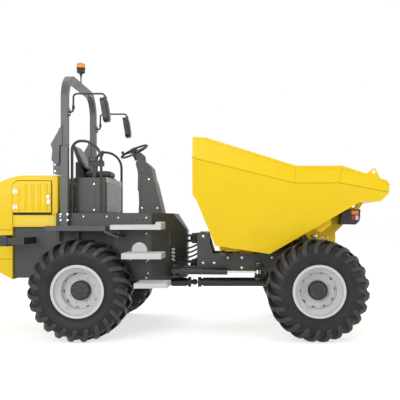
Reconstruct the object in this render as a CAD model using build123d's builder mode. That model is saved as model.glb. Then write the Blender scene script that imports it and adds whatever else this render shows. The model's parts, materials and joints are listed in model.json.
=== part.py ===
"""Articulated site dumper of the nine-tonne class: a rear chassis with engine, seat and folding roll bar, and a
front frame with a forward-tipping skip.  Millimetres, +X to the skip's nose, +Y to the driver's left, +Z up.
The origin is on the ground, at mid length, on the centreline."""

import os
from math import cos, radians, sin

from build123d import *

os.makedirs("parts", exist_ok=True)

# ---------------------------------------------------------------- driving dimensions
half_length = 2475
rear_x = -half_length
tyre_radius = 590
wheel_y = 995
rear_axle_x = -1072
front_axle_x = 1675
axle_z = tyre_radius
fit = 0.05  # radial clearance of a running fit

body_y = 700  # half width of chassis box, deck and hood
deck_z = 1489
sheet = 6
hood_top_z = 1944
hood_front_x = -1435
tail_r = 660  # rounding of the tail in side view
tail_bottom_z = 685
door_rear_x = rear_x + 493
door_front_x = door_rear_x + 477

pivot_x = 175
upper_lug_z, lower_lug_z = 1166, 823
pivot_pin_r = 35
lug_r = 55
trunnion_z = 995
trunnion_r = 90
shaft_z = 588
shaft_r = 58

skip_pivot = (1705, 1203)
skip_pin_r = 30
skip_y = 1170
skip_wall = 10
taper = 0.32  # inward slope of the lower side walls
cradle_y = 440
ram_y = 200
ram_foot = (1480, 640)
ram_lean = 27.28  # degrees above the horizontal, towards the rear
ram_closed = 720
ram_barrel_end = ram_closed - 80

steer_y = -520
steer_rear = (-41, 774)
steer_front = (996, 762)
steer_barrel_end = 660

rops_x = -1333.5  # centre of the roll-bar posts
rops_y = 747
post_x, post_y = 83, 80
fold_pin = (-1425, 2181)
fold_split_z = 2295
hoop_top_z = 3190

wheel_centre = (-620, 0, 2308)
steering_tilt = 26


# ---------------------------------------------------------------- helpers
def save(builder, name):
    """Labels a finished sub-part and writes its STEP file."""
    builder.part.label = name
    export_step(builder.part, f"parts/{name}.step")


def side_plate(points, y, thickness, mode=Mode.ADD):
    """Adds a plate with its outline in XZ, from y to y + thickness."""
    with BuildSketch(Plane.XZ.offset(-y)) as profile:
        Polygon(*points, align=None)
    extrude(profile.sketch, amount=-thickness, mode=mode)


def side_plates(points, y, thickness, mode=Mode.ADD):
    """Adds the same plate on both sides, from |y| to |y| + thickness."""
    side_plate(points, y, thickness, mode)
    side_plate(points, -y - thickness, thickness, mode)


def plan_plate(points, z, thickness, mode=Mode.ADD):
    """Adds a plate with its outline in XY, from z to z + thickness."""
    with BuildSketch(Plane.XY.offset(z)) as profile:
        Polygon(*points, align=None)
    extrude(profile.sketch, amount=thickness, mode=mode)


def block(x, y, z, mode=Mode.ADD):
    """Adds a box given by its (low, high) limits on each axis."""
    centre = [(low + high) / 2 for low, high in (x, y, z)]
    with Locations(tuple(centre)):
        Box(x[1] - x[0], y[1] - y[0], z[1] - z[0], mode=mode)


def bar(start, end, radius, mode=Mode.ADD):
    """Adds a round bar between two points."""
    run = Vector(*end) - Vector(*start)
    with BuildSketch(Plane(origin=start, z_dir=run)) as profile:
        Circle(radius)
    extrude(profile.sketch, amount=run.length, mode=mode)


def cross_bar(x, z, radius, y, mode=Mode.ADD):
    """Adds a round bar along Y between the two y limits."""
    bar((x, y[0], z), (x, y[1], z), radius, mode)


def sweep_tube(points, bend, radius):
    """Adds a tube along straight runs joined by tangent bends."""
    with BuildLine() as path:
        FilletPolyline(*points, radius=bend)
    start = path.wires()[0]
    with BuildSketch(Plane(origin=start @ 0, z_dir=start % 0)) as profile:
        Circle(radius)
    sweep(profile.sketch, path=start)


# ---------------------------------------------------------------- wheels
rim_r = 300
disc_y = 985  # outboard face of the hub's flange, where the rim's disc is bolted on
disc_thickness = 16
hub_cap_r = 112
hub_end_y = 1075
bolt_circle_r = 150
wheel_bolts = 8
disc_slots = 10
spindle_r = 50
spindle_end_y = 1040
lugs_a_side = 23
lug_half_width = 27
lug_slant = 24  # degrees that a lug leans round the tyre, shoulder against middle

# the wheel's section: local x is outboard from the tyre's middle, local y is the radius
wheel_section = Plane(origin=(0, 0, 0), x_dir=(0, 1, 0), z_dir=(1, 0, 0))


def save_wheel_part(builder, name, x, side):
    """Writes a piece that was drawn about the left wheel's middle at its place on an axle."""
    turned = builder.part.rotate(Axis.Z, 0 if side > 0 else 180, transform=True)
    placed = turned.translate((x, side * wheel_y, axle_z), transform=True)
    placed.label = name
    export_step(placed, f"parts/{name}.step")


with BuildPart() as lug:
    with BuildSketch(wheel_section):
        Polygon(
            (-20, tyre_radius), (90, tyre_radius), (176, tyre_radius - 22), (246, tyre_radius - 110),
            (248, tyre_radius - 152), (200, tyre_radius - 90), (-20, tyre_radius - 60), align=None,
        )
    extrude(amount=lug_half_width, both=True)

with BuildPart() as tyre:
    # tread and shoulders have a flat for every lug
    for y, radius in ((-236, tyre_radius - 162), (-184, tyre_radius - 44), (184, tyre_radius - 44), (236, tyre_radius - 162)):
        with BuildSketch(Plane(origin=(0, y, 0), x_dir=(1, 0, 0), z_dir=(0, 1, 0))):
            RegularPolygon(radius, 2 * lugs_a_side)
    loft(ruled=True)
    bar((0, -240, 0), (0, 240, 0), tyre_radius - 190, Mode.SUBTRACT)
    with BuildSketch(wheel_section):
        Polygon(
            (0, tyre_radius - 180), (236, tyre_radius - 164), (243, tyre_radius - 200), (236, rim_r + 50),
            (216, rim_r + 22), (200, rim_r), (200, rim_r - 16), (0, rim_r - 16), align=None,
        )
        mirror(about=Plane.YZ)
    revolve(axis=Axis.Y)
    pitch = 360 / lugs_a_side
    leaning = lug.part.rotate(Axis.Z, -lug_slant)
    far_row = leaning.rotate(Axis.Z, 180).rotate(Axis.Y, pitch / 2)
    add([row.rotate(Axis.Y, 180 + pitch * index) for index in range(lugs_a_side) for row in (leaning, far_row)])

with BuildPart() as rim:
    disc = disc_y - wheel_y
    with BuildSketch(wheel_section):
        Polygon(
            (-215, rim_r), (-200, rim_r), (-200, rim_r - 16), (-140, rim_r - 16), (-80, rim_r - 76),
            (100, rim_r - 76), (150, rim_r - 16), (200, rim_r - 16), (200, rim_r), (215, rim_r),
            (215, rim_r - 26), (160, rim_r - 30), (104, rim_r - 86), (-84, rim_r - 86), (-144, rim_r - 26),
            (-215, rim_r - 26), align=None,
        )
        with Locations((disc + disc_thickness / 2, (rim_r - 84 + hub_cap_r + 1) / 2)):
            Rectangle(disc_thickness, rim_r - 84 - hub_cap_r - 1)
    revolve(axis=Axis.Y)
    disc_face = Plane(origin=(0, disc + disc_thickness, 0), x_dir=(1, 0, 0), z_dir=(0, 1, 0))
    with BuildSketch(disc_face):
        with PolarLocations(rim_r - 99, disc_slots, start_angle=4):
            SlotOverall(40, 15, rotation=90)
    extrude(amount=-disc_thickness, mode=Mode.SUBTRACT)
    with BuildSketch(disc_face):
        with PolarLocations(bolt_circle_r, wheel_bolts, start_angle=20):
            RegularPolygon(15, 6)
    extrude(amount=16)

with BuildPart() as hub:
    with BuildSketch(wheel_section):
        Polygon(
            *[
                (y - wheel_y, radius)
                for y, radius in (
                    (840, spindle_r + fit), (840, 150), (900, 168), (disc_y, 168), (disc_y, hub_cap_r),
                    (hub_end_y - 12, hub_cap_r), (hub_end_y, hub_cap_r - 14), (hub_end_y, 0),
                    (spindle_end_y + 12, 0), (spindle_end_y + 12, spindle_r + fit),
                )
            ],
            align=None,
        )
    revolve(axis=Axis.Y)

for axle_name, axle_x in (("rear", rear_axle_x), ("front", front_axle_x)):
    for side_name, side in (("left", 1), ("right", -1)):
        save_wheel_part(tyre, f"tyre_{axle_name}_{side_name}", axle_x, side)
        save_wheel_part(rim, f"rim_{axle_name}_{side_name}", axle_x, side)
        save_wheel_part(hub, f"hub_{axle_name}_{side_name}", axle_x, side)


# ---------------------------------------------------------------- axles and drive shafts
def build_axle(name, x, pinion):
    """A drive axle: differential, tapered arms, brake flanges and wheel spindles; the pinion nose points along X."""
    with BuildPart() as axle:
        with BuildSketch(Plane(origin=(x, 0, axle_z), x_dir=(0, 1, 0), z_dir=(1, 0, 0))):
            with BuildLine():
                Polyline(
                    (0, 0), (0, 175), (70, 170), (130, 120), (170, 90), (560, 80), (700, 95), (790, 95), (790, 140),
                    (828, 140), (828, spindle_r), (spindle_end_y, spindle_r), (spindle_end_y, 0), (0, 0),
                )
            make_face()
            mirror(about=Plane.YZ)
        revolve(axis=Axis((x, 0, axle_z), (0, 1, 0)))
        bar((x, 0, axle_z), (x + pinion * 300, 0, axle_z), 95)
        bar((x, 0, axle_z), (x + pinion * 330, 0, axle_z), 70)
    save(axle, name)


build_axle("rear_axle", rear_axle_x, 1)
build_axle("front_axle", front_axle_x, -1)

joint_ball_r = 40
with BuildPart() as rear_prop_shaft:
    bar((rear_axle_x + 330, 0, shaft_z), (pivot_x - 65, 0, shaft_z), 45)
    bar((pivot_x - 300, 0, shaft_z), (pivot_x - 105, 0, shaft_z), shaft_r)
    bar((pivot_x - 85, 0, shaft_z), (pivot_x - 45, 0, shaft_z), 66)
    bar((pivot_x - 46, 0, shaft_z), (pivot_x, 0, shaft_z), 26)
    with Locations((pivot_x, 0, shaft_z)):
        Sphere(joint_ball_r)
save(rear_prop_shaft, "rear_prop_shaft")

with BuildPart() as front_prop_shaft:
    bar((pivot_x + 70, 0, shaft_z), (front_axle_x - 330, 0, shaft_z), 45)
    bar((pivot_x + 110, 0, shaft_z), (1130, 0, shaft_z), shaft_r)
    bar((pivot_x + joint_ball_r + 6, 0, shaft_z), (pivot_x + 90, 0, shaft_z), 66)
save(front_prop_shaft, "front_prop_shaft")

# ---------------------------------------------------------------- rear chassis
box_rear_x = -761
nose_x, nose_y = 85, 150
shoulder_x = -300
slope_x = -70  # where the nose's sloping front meets the deck
slope_foot = (nose_x, 1275)
box_bottom_z = 666
box_top_z = deck_z - sheet
rail_y = 640
wall = 10


def both_sides(half):
    """Mirrors a half outline about the X axis, giving a whole outline."""
    return half + [(x, -y) for x, y in reversed(half)]


def nose_half_width(x):
    """Half width of the chassis box at a place on its narrowing nose."""
    return nose_y + (nose_x - x) * (body_y - nose_y) / (nose_x - shoulder_x)


def chassis_box(inset, bottom, top):
    """Adds the box between the wheels: it narrows forward to clear the front frame, and its nose slopes."""
    plan_plate(
        both_sides(
            [
                (box_rear_x + inset, body_y - inset), (shoulder_x - inset, body_y - inset),
                (nose_x - inset, nose_y),
            ]
        ),
        bottom, top - bottom,
    )
    side_plate([(slope_x - inset, deck_z), (400, deck_z), (400, slope_foot[1] - 400), (slope_foot[0] - inset,
               slope_foot[1])], -body_y - 1, 2 * body_y + 2, Mode.SUBTRACT)


with BuildPart() as box_inside:
    chassis_box(wall, box_bottom_z - 1, box_top_z - wall)

with BuildPart() as rear_frame:
    chassis_box(0, box_bottom_z, box_top_z)
    add(box_inside.part, mode=Mode.SUBTRACT)
    side_plates([(-1976, 700), (-1976, box_top_z), (box_rear_x, box_top_z), (box_rear_x, 700)], rail_y, 14)
    block((-1976, -1962), (-rail_y, rail_y), (760, 1320))
    for x in (-1780, -1330):
        block((x - 40, x + 40), (-rail_y, rail_y), (700, 780))
    for y in (-430, 430):
        block((rear_axle_x - 110, rear_axle_x + 110), (y - 40, y + 40), (axle_z + 75, 780))
    block((rear_axle_x - 110, rear_axle_x + 110), (-rail_y, rail_y), (720, 780))
    cross_bar(rear_axle_x, axle_z, 200, (-390, 390), Mode.SUBTRACT)
    cross_bar(rear_axle_x, axle_z, 88, (-471, 471), Mode.SUBTRACT)
    # inspection cover and handle on each flank of the box
    side_plates([(-570, 740), (-570, 940), (-320, 940), (-320, 740)], body_y - 1, 5)
    side_plates([(-118, 1080), (-118, 1240), (-98, 1240), (-98, 1080)], nose_half_width(-108) - 12, 22)
    # upper and lower articulation lugs with their pins
    for z in (upper_lug_z + 35, upper_lug_z - 35, lower_lug_z + 35, lower_lug_z - 35):
        with BuildSketch(Plane.XY.offset(z - 15)):
            with Locations((pivot_x, 0)):
                Circle(lug_r)
            Polygon((nose_x - 15, -100), (pivot_x, -lug_r), (pivot_x, lug_r), (nose_x - 15, 100), align=None)
        extrude(amount=30)
    for z in (upper_lug_z, lower_lug_z):
        bar((pivot_x, 0, z - 68), (pivot_x, 0, z + 68), pivot_pin_r)
save(rear_frame, "rear_frame")

# bracket on the right flank of the nose that carries the steering cylinder's swivel
flank_rear, flank_front = ((x, -nose_half_width(x)) for x in (-150, -10))
bracket_back = Vector(11.5, -8)
with BuildPart() as steering_bracket:
    plan_plate(
        [flank_rear, flank_front, (flank_front[0] + bracket_back.X, flank_front[1] + bracket_back.Y),
         (flank_rear[0] + bracket_back.X, flank_rear[1] + bracket_back.Y)],
        steer_rear[1] - 75, 150,
    )
    for z in (-68, 68):
        with BuildSketch(Plane.XY.offset(steer_rear[1] + z - 7)):
            with Locations((steer_rear[0], steer_y)):
                Circle(40)
            Polygon(flank_rear, (-81, steer_y), (-1, steer_y), flank_front, align=None)
        extrude(amount=14)
        bar((steer_rear[0], steer_y, steer_rear[1] + z - 8), (steer_rear[0], steer_y, steer_rear[1] + z + 8),
            20 + fit, Mode.SUBTRACT)
save(steering_bracket, "steering_bracket")

with BuildPart() as engine_block:
    block((door_rear_x + 30, -1300), (-280, 280), (800, 1460))
    block((door_rear_x + 30, -1480), (-280, 280), (1459, 1760))
save(engine_block, "engine_block")


def tail_profile(inset):
    """Keeps what lies inside the tail's side view: rounded above, and rising below towards the rear."""
    low = tail_bottom_z - 1
    with BuildSketch(Plane.XZ.offset(body_y + 1)) as profile:
        with BuildLine():
            Polyline(
                (rear_x + inset, hood_top_z - tail_r), (rear_x + inset, low + 265), (door_rear_x, low),
                (hood_front_x + 1, low), (hood_front_x + 1, hood_top_z - inset), (rear_x + tail_r, hood_top_z - inset),
            )
            turn = (tail_r - inset) * cos(radians(45))
            ThreePointArc(
                (rear_x + tail_r, hood_top_z - inset), (rear_x + tail_r - turn, hood_top_z - tail_r + turn),
                (rear_x + inset, hood_top_z - tail_r),
            )
        make_face()
    extrude(profile.sketch, amount=-2 * body_y - 2, mode=Mode.INTERSECT)


tail_corner_r = 160
with BuildPart() as counterweight:
    with BuildSketch(Plane.XY.offset(tail_bottom_z)) as tail_plan:
        with Locations(((rear_x + door_rear_x) / 2, 0)):
            Rectangle(door_rear_x - rear_x, 2 * body_y)
        fillet(tail_plan.vertices().group_by(Axis.X)[0], tail_corner_r)
    extrude(amount=deck_z - tail_bottom_z)
    tail_profile(0)
    block((rear_x + 150, door_rear_x + 1), (-body_y + 120, body_y - 120), (tail_bottom_z + 230, deck_z + 1),
          Mode.SUBTRACT)
save(counterweight, "counterweight")

hood_wall = 12


def hood_shell(inset, bottom):
    """Adds the hood's block, drawn in by an inset."""
    with BuildSketch(Plane.XY.offset(bottom)) as hood_plan:
        with Locations(((rear_x + hood_front_x) / 2, 0)):
            Rectangle(hood_front_x - rear_x - 2 * inset, 2 * (body_y - inset))
        fillet(hood_plan.vertices().group_by(Axis.X)[0], tail_corner_r - inset)
    extrude(hood_plan.sketch, amount=hood_top_z - inset - bottom)
    tail_profile(inset)


door_outline = [(door_rear_x, deck_z - 1), (door_rear_x, 1838), (door_rear_x + 44, 1884), (door_front_x, 1884),
                (door_front_x, deck_z - 1)]
skirt_z = (1321, 1463)
with BuildPart() as hood_inside:
    hood_shell(hood_wall, deck_z - 1)

with BuildPart() as engine_hood:
    hood_shell(0, deck_z)
    add(hood_inside.part, mode=Mode.SUBTRACT)
    side_plates(door_outline, body_y - 60, 61, Mode.SUBTRACT)
    # yellow skirt below the doors, hung from the hood's front corner
    for side in (-1, 1):
        block((door_rear_x + 6, hood_front_x - 20), sorted((side * (body_y - 10), side * body_y)), skirt_z)
        block((door_front_x, hood_front_x - 20), sorted((side * (body_y - 10), side * (body_y - 4))),
              (skirt_z[1] - 1, deck_z + 1))
save(engine_hood, "engine_hood")

shelf_z = (1278, 1335)
shelf_y = 1150
with BuildPart() as deck:
    plan_plate(
        both_sides([(hood_front_x, body_y), (shoulder_x, body_y), (slope_x, nose_half_width(slope_x))]),
        box_top_z, sheet,
    )
    side_plates([(-1453, shelf_z[0]), (-1453, deck_z - 1), (box_rear_x - 1, deck_z - 1), (box_rear_x - 1, shelf_z[0])],
                body_y - 8, 8)
    side_plates([(-1453, shelf_z[0]), (-1453, shelf_z[1]), (-768, shelf_z[1]), (-768, shelf_z[0])],
                body_y - 8, shelf_y - body_y + 8)
    side_plates([(-780, shelf_z[1]), (-768, shelf_z[1]), (-762, 1272), (-610, 1210), (-619, 1198), (-780, 1262)],
                body_y + 1, shelf_y - body_y - 1)
    for x in (-1440, -1210):
        side_plates([(x, shelf_z[0] + 1), (x + 44, shelf_z[0] + 1), (x + 34, 1150), (x + 14, 1150)], body_y - 1, 38)
save(deck, "deck")

step_lip = 12
step_gap = 5  # between a tread and the box's flank


def build_steps(name, side):
    """Three separate step treads, open channels on tabs that are bolted to the box's flank."""
    outer = side * shelf_y
    with BuildPart() as steps:
        for x_rear, x_front, low, high in (  # rear end, front end, underside, top
            (-711, -130, 1293, 1342), (-583, -127, 956, 1018), (-440, -60, 622, 674),
        ):
            inner = side * (body_y + step_gap)
            block((x_rear, x_front), sorted((inner, outer)), (low, high))
            block((x_rear + step_lip, x_front - step_lip), sorted((inner + side * step_lip, outer - side * step_lip)),
                  (low - 1, high - step_lip), Mode.SUBTRACT)
            for x in (x_rear, shoulder_x - 30):
                block((x, x + 25), sorted((side * body_y, inner + side)), (low, high))
        block((-192, -130), sorted((side * (body_y + step_gap), outer)), (1305, 1375))
    save(steps, name)


build_steps("steps_left", 1)
build_steps("steps_right", -1)

with BuildPart() as speed_disc:
    bar((-443, -body_y, 1037), (-443, -body_y - 4, 1037), 93)
save(speed_disc, "speed_disc")


def build_rear_lamp(name, side):
    """A rear lamp box on a bracket that runs forward above the tyre."""
    with BuildPart() as lamp:
        block((-2010, -1910), sorted((side * 900, side * 1100)), (1100, 1227))
        block((-1910, -1710), sorted((side * 1080, side * 1090)), (1120, 1200))
        block((-1730, -1716), sorted((side * (rail_y + 14), side * 1090)), (1120, 1200))
    save(lamp, name)


build_rear_lamp("rear_lamp_left", 1)
build_rear_lamp("rear_lamp_right", -1)

# ---------------------------------------------------------------- driver's place
post_front_x, post_rear_x = rops_x + post_x / 2, rops_x - post_x / 2
with BuildPart() as console:
    side_plates(
        [(-535, deck_z), (-528, 1629), (-545, 2026), (-571, 2128), (-560, 2174), (-470, 2174), (-420, 2136),
         (-372, 2085), (-345, 1946), (-318, 1879), (-270, 1680), (-226, deck_z)], 0, 200)
save(console, "console")

column_r = 18
tilt = radians(steering_tilt)
column_dir = Vector(-sin(tilt), 0, cos(tilt))
wheel_middle = Vector(*wheel_centre)
with BuildPart() as steering_column:
    bar(tuple(wheel_middle - column_dir * 60), tuple(wheel_middle + column_dir * 8), column_r)
    bar(tuple(wheel_middle - column_dir * 115), tuple(wheel_middle - column_dir * 40), 45)
    side_plates([(-556, 2176), (-590, 2258), (-562, 2286), (-530, 2290), (-482, 2246), (-472, 2176)], 40, 10)
    block((-558, -471), (-54, 54), (2174, 2190))
save(steering_column, "steering_column")

wheel_ring_r = 182
with BuildPart() as steering_wheel:
    with BuildSketch(Plane(origin=wheel_centre, x_dir=(cos(tilt), 0, sin(tilt)), z_dir=(0, -1, 0))):
        with Locations((wheel_ring_r, 0)):
            Circle(14)
    revolve(axis=Axis(wheel_centre, tuple(column_dir)))
    wheel_plane_up = Plane(origin=tuple(wheel_middle - column_dir * 14), x_dir=(cos(tilt), 0, sin(tilt)),
                           z_dir=tuple(column_dir))
    with BuildSketch(wheel_plane_up):
        Circle(45)
        with PolarLocations(wheel_ring_r / 2, 3):
            Rectangle(wheel_ring_r, 30)
    extrude(amount=12)
    with BuildSketch(wheel_plane_up):
        Circle(45)
    extrude(amount=40)
    bar(tuple(wheel_middle - column_dir * 20), tuple(wheel_middle + column_dir * 9), column_r + fit, Mode.SUBTRACT)
    knob = wheel_plane_up.from_local_coords((-130, -130, 0))
    bar(tuple(knob), tuple(knob + column_dir * 60), 18)
save(steering_wheel, "steering_wheel")

seat_front_x = -891
seat_base_y = 513
seat_top_z = 1930
with BuildPart() as seat_base:
    block((post_front_x + 5, seat_front_x), (-seat_base_y, seat_base_y), (deck_z, seat_top_z))
    # covers on both flanks and the slotted panel in front
    side_plates([(-1286, deck_z + 20), (-1286, 1872), (-1018, 1872), (-1018, deck_z + 20)], seat_base_y - 1, 7)
    block((seat_front_x - 1, seat_front_x + 6), (-seat_base_y + 14, seat_base_y - 14), (deck_z + 4, 1905))
    for y in (-330, -110, 110, 330):
        block((seat_front_x - 12, seat_front_x + 8), (y - 22, y + 22), (1700, 1870), Mode.SUBTRACT)
save(seat_base, "seat_base")

cushion_z = seat_top_z + 26
with BuildPart() as seat_mount:
    block((-1250, -930), (-190, 190), (seat_top_z, seat_top_z + 16))
    block((-1276, -900), (-212, 212), (seat_top_z + 15, cushion_z - 0.3))
    side_plates([(-1338, cushion_z - 6), (-1338, 2150), (-1300, 2150), (-1220, cushion_z - 6)], 200, 12)
    block((-1343, -1330), (-212, 212), (cushion_z - 10, 2150))
    block((-1338, -1270), (-212, 212), (seat_top_z + 15, cushion_z - 0.3))
    # armrest with its joystick on the right, on a post
    block((-1150, -960), (-330, -260), (2090, 2140))
    block((-1100, -1060), (-310, -200), (seat_top_z + 15, cushion_z - 0.3))
    block((-1100, -1060), (-310, -290), (seat_top_z + 15, 2100))
    bar((-1004, -295, 2130), (-985, -295, 2230), 14)
save(seat_mount, "seat_mount")

with BuildPart() as seat_cushion:
    block((-1270, -869), (-195, 195), (cushion_z, cushion_z + 84))
save(seat_cushion, "seat_cushion")

with BuildPart() as seat_back:
    side_plate([(-1285, cushion_z + 84.3), (-1418, 2390), (-1370, 2400), (-1300, 2380), (-1180, cushion_z + 84.3)],
               -195, 390)
save(seat_back, "seat_back")

hoop_y = 670
bend = cos(radians(45))


def build_guard_hoop(name, side):
    """A bent tube beside the seat with a wide front bend, its two feet on the deck."""
    y = side * hoop_y
    with BuildPart() as hoop:
        with BuildLine() as path:
            Line((-1268, y, deck_z), (-1268, y, 2256))
            ThreePointArc((-1268, y, 2256), (-1158 - 110 * bend, y, 2256 + 110 * bend), (-1158, y, 2366))
            Line((-1158, y, 2366), (-1144, y, 2366))
            ThreePointArc((-1144, y, 2366), (-1144 + 230 * bend, y, 2136 + 230 * bend), (-914, y, 2136))
            Line((-914, y, 2136), (-914, y, deck_z))
        start = path.wires()[0]
        with BuildSketch(Plane(origin=start @ 0, z_dir=start % 0)) as profile:
            Circle(17)
        sweep(profile.sketch, path=start)
    save(hoop, name)


build_guard_hoop("guard_hoop_left", 1)
build_guard_hoop("guard_hoop_right", -1)

# ---------------------------------------------------------------- roll bar
beacon_x, beacon_z = -1326, hoop_top_z + 156
with BuildPart() as rops_base:
    for y in (-rops_y, rops_y):
        block((post_rear_x, post_front_x), (y - post_y / 2, y + post_y / 2), (1335, fold_split_z - 5))
        side_plate([(post_rear_x + 1, 1934), (-1470, 1960), (-1470, 2200), (-1440, 2225), (post_rear_x + 1, 2225)],
                   y - 15, 30)
        cross_bar(*fold_pin, 16, (y - 64, y + 64))
    block((post_rear_x, post_front_x), (-rops_y, rops_y), (deck_z, deck_z + 70))
save(rops_base, "rops_base")

with BuildPart() as rops_hoop:
    with BuildSketch(Plane(origin=(post_rear_x, 0, 0), x_dir=(0, 1, 0), z_dir=(1, 0, 0))) as frame_outline:
        outer = rops_y + post_y / 2
        Polygon((-outer, fold_split_z), (outer, fold_split_z), (outer, hoop_top_z), (-outer, hoop_top_z), align=None)
        fillet(frame_outline.vertices().group_by(Axis.Y)[-1], 330)
        inner = rops_y - post_y / 2
        with BuildSketch(mode=Mode.PRIVATE) as opening:
            Polygon((-inner, fold_split_z - 1), (inner, fold_split_z - 1), (inner, hoop_top_z - post_y),
                    (-inner, hoop_top_z - post_y), align=None)
            fillet(opening.vertices().group_by(Axis.Y)[-1], 250)
        add(opening.sketch, mode=Mode.SUBTRACT)
    extrude(amount=post_x)
    for y in (-rops_y, rops_y):
        for plate_y in (y - 58, y + 46):
            side_plate([(post_rear_x + 20, 2548), (-1490, 2310), (-1470, 2250), (-1480, 2120), (-1420, 2060),
                        (-1390, 2090), (-1385, 2300), (post_rear_x + 20, 2300)], plate_y, 12)
        block((post_rear_x - 20, post_rear_x + 20), (y - 58, y + 58), (2310, 2500))
        cross_bar(*fold_pin, 16 + fit, (y - 65, y + 65), Mode.SUBTRACT)
    bar((beacon_x, 0, hoop_top_z - 1), (beacon_x, 0, beacon_z), 9)
save(rops_hoop, "rops_hoop")

with BuildPart() as beacon_base:
    bar((beacon_x, 0, beacon_z), (beacon_x, 0, beacon_z + 63), 52)
save(beacon_base, "beacon_base")

with BuildPart() as beacon_dome:
    bar((beacon_x, 0, beacon_z + 63), (beacon_x, 0, beacon_z + 132), 55)
    fillet(beacon_dome.faces().sort_by(Axis.Z)[-1].edges(), 22)
save(beacon_dome, "beacon_dome")


def build_mirror(name, side):
    """A mirror on a bar that is clamped to the roll bar's post."""
    y = side * rops_y
    front = post_front_x
    with BuildPart() as mirror_part:
        block((front, front + 14), (y - 45, y + 45), (2660, 2750))
        sweep_tube([(front + 10, y, 2700), (front + 60, y, 2700), (front + 60, y, 2925), (-850, y, 2925),
                    (-850, y, 2840)], 45, 11)
        glass = Plane(Location((-880, y, 2725), (0, 81, 0)))
        with BuildSketch(glass) as outline:
            RectangleRounded(290, 180, 50)
        extrude(outline.sketch, amount=55)
    save(mirror_part, name)


build_mirror("mirror_left", 1)
build_mirror("mirror_right", -1)


rib_pitch = 83.5
door_gap = 6


def build_side_door(name, side):
    """A ribbed side door of the engine hood, hinged at its rear edge."""
    rear, front, low = door_rear_x + door_gap, door_front_x - 10, deck_z + door_gap
    with BuildPart() as door:
        side_plate([(rear, low), (rear, 1832), (rear + 42, 1876), (front, 1876), (front, low)],
                   side * body_y - (12 if side > 0 else 8), 20)
        for index in range(5):
            x = door_rear_x + 79 + rib_pitch * index
            top = 1832 if index else 1790
            bar((x, side * (body_y + 1), 1526), (x, side * (body_y + 1), top), 20)
        bar((door_front_x - 41, side * body_y, 1686), (door_front_x - 41, side * (body_y + 20), 1686), 13)
        for z in (1562, 1750):
            bar((door_rear_x, side * (body_y + 14), z - 30), (door_rear_x, side * (body_y + 14), z + 30), 12)
            block((door_rear_x, door_rear_x + 60), sorted((side * (body_y + 5), side * (body_y + 15))), (z - 25, z + 25))
    save(door, name)


build_side_door("side_door_left", 1)
build_side_door("side_door_right", -1)

# ---------------------------------------------------------------- articulation and front frame
knuckle_front_x = 262
with BuildPart() as knuckle:
    block((pivot_x + 61, knuckle_front_x), (-110, 110), (804, 1185))
    for z in (upper_lug_z, lower_lug_z):
        with BuildSketch(Plane.XY.offset(z - 19)):
            with Locations((pivot_x, 0)):
                Circle(lug_r)
            Polygon((pivot_x, -lug_r), (pivot_x + 62, -90), (pivot_x + 62, 90), (pivot_x, lug_r), align=None)
        extrude(amount=38)
        bar((pivot_x, 0, z - 20), (pivot_x, 0, z + 20), pivot_pin_r + fit, Mode.SUBTRACT)
    bar((knuckle_front_x - 1, 0, trunnion_z), (400, 0, trunnion_z), trunnion_r)
    bar((374, 0, trunnion_z), (400, 0, trunnion_z), 120)
save(knuckle, "knuckle")

beam_y, beam_thickness = 330, 40
frame_rear_x, frame_front_x = 275, 1990
beam_z = (750, 980)
with BuildPart() as front_frame:
    block((frame_rear_x, 368), (-beam_y - beam_thickness, beam_y + beam_thickness), (820, 1239))
    bar((frame_rear_x - 1, 0, trunnion_z), (369, 0, trunnion_z), trunnion_r + fit, Mode.SUBTRACT)
    side_plates([(232, 824), (232, 1247), (351, 1247), (430, beam_z[1]), (frame_front_x, beam_z[1]),
                 (frame_front_x, 800), (frame_front_x - 50, beam_z[0]), (500, beam_z[0]), (367, 824)],
                beam_y, beam_thickness)
    block((560, 640), (-beam_y, beam_y), (760, 960))
    block((frame_front_x - 60, frame_front_x), (-beam_y, beam_y), (810, 960))
    block((1520, 1600), (-beam_y, beam_y), (752, 850))
    for x in (560, 680):
        block((x, x + 60), (-beam_y - beam_thickness, beam_y + beam_thickness), (beam_z[1] - 10, 1003))
    # rest buffers under the skip's floor
    side_plates([(527, 958), (527, 1004), (596, 1004), (596, 958)], beam_y + beam_thickness - 1, 271)
    # uprights with the skip's pivot pins
    side_plates([(1580, 760), (1650, skip_pivot[1]), (1672, 1245), (1738, 1245), (1762, skip_pivot[1]), (1840, 760)],
                beam_y + beam_thickness, 34)
    for side in (-1, 1):
        cross_bar(*skip_pivot, skip_pin_r, sorted((side * (beam_y + beam_thickness + 1), side * 500)))
    # axle saddles
    for y in (-beam_y - 20, beam_y + 20):
        block((front_axle_x - 110, front_axle_x + 110), (y - 20, y + 20), (axle_z + 60, beam_z[0] + 10))
    cross_bar(front_axle_x, axle_z, 88, (-400, 400), Mode.SUBTRACT)
    # feet of the two tipping rams
    for side in (-1, 1):
        for y in (ram_y - 47, ram_y + 32):
            side_plate([(1462, 612), (1500, 600), (1600, 780), (1545, 780), (1470, 655), (1462, 640)],
                       side * y - (15 if side < 0 else 0), 15)
        cross_bar(*ram_foot, 22, sorted((side * (ram_y - 50), side * (ram_y + 50))))
    # clevis of the steering cylinder, on the right flank, with the heads of its pin
    for z in (steer_front[1] - 85, steer_front[1] + 70):
        with BuildSketch(Plane.XY.offset(z)):
            with Locations((steer_front[0], steer_y)):
                Circle(45)
            Polygon((950, -beam_y - 1), (steer_front[0] - 45, steer_y), (steer_front[0] + 45, steer_y),
                    (1080, -beam_y - 1), align=None)
        extrude(amount=15)
    for z in (steer_front[1] - 102, steer_front[1] + 84):
        bar((steer_front[0], steer_y, z), (steer_front[0], steer_y, z + 18), 30)
    block((960, 1080), (-beam_y - 12, -beam_y - 1), (steer_front[1] - 85, beam_z[0] + 5))
save(front_frame, "front_frame")

# ---------------------------------------------------------------- skip
ramp_foot = (1126, 1001)
ramp_top = (2152, 1612)


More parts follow.
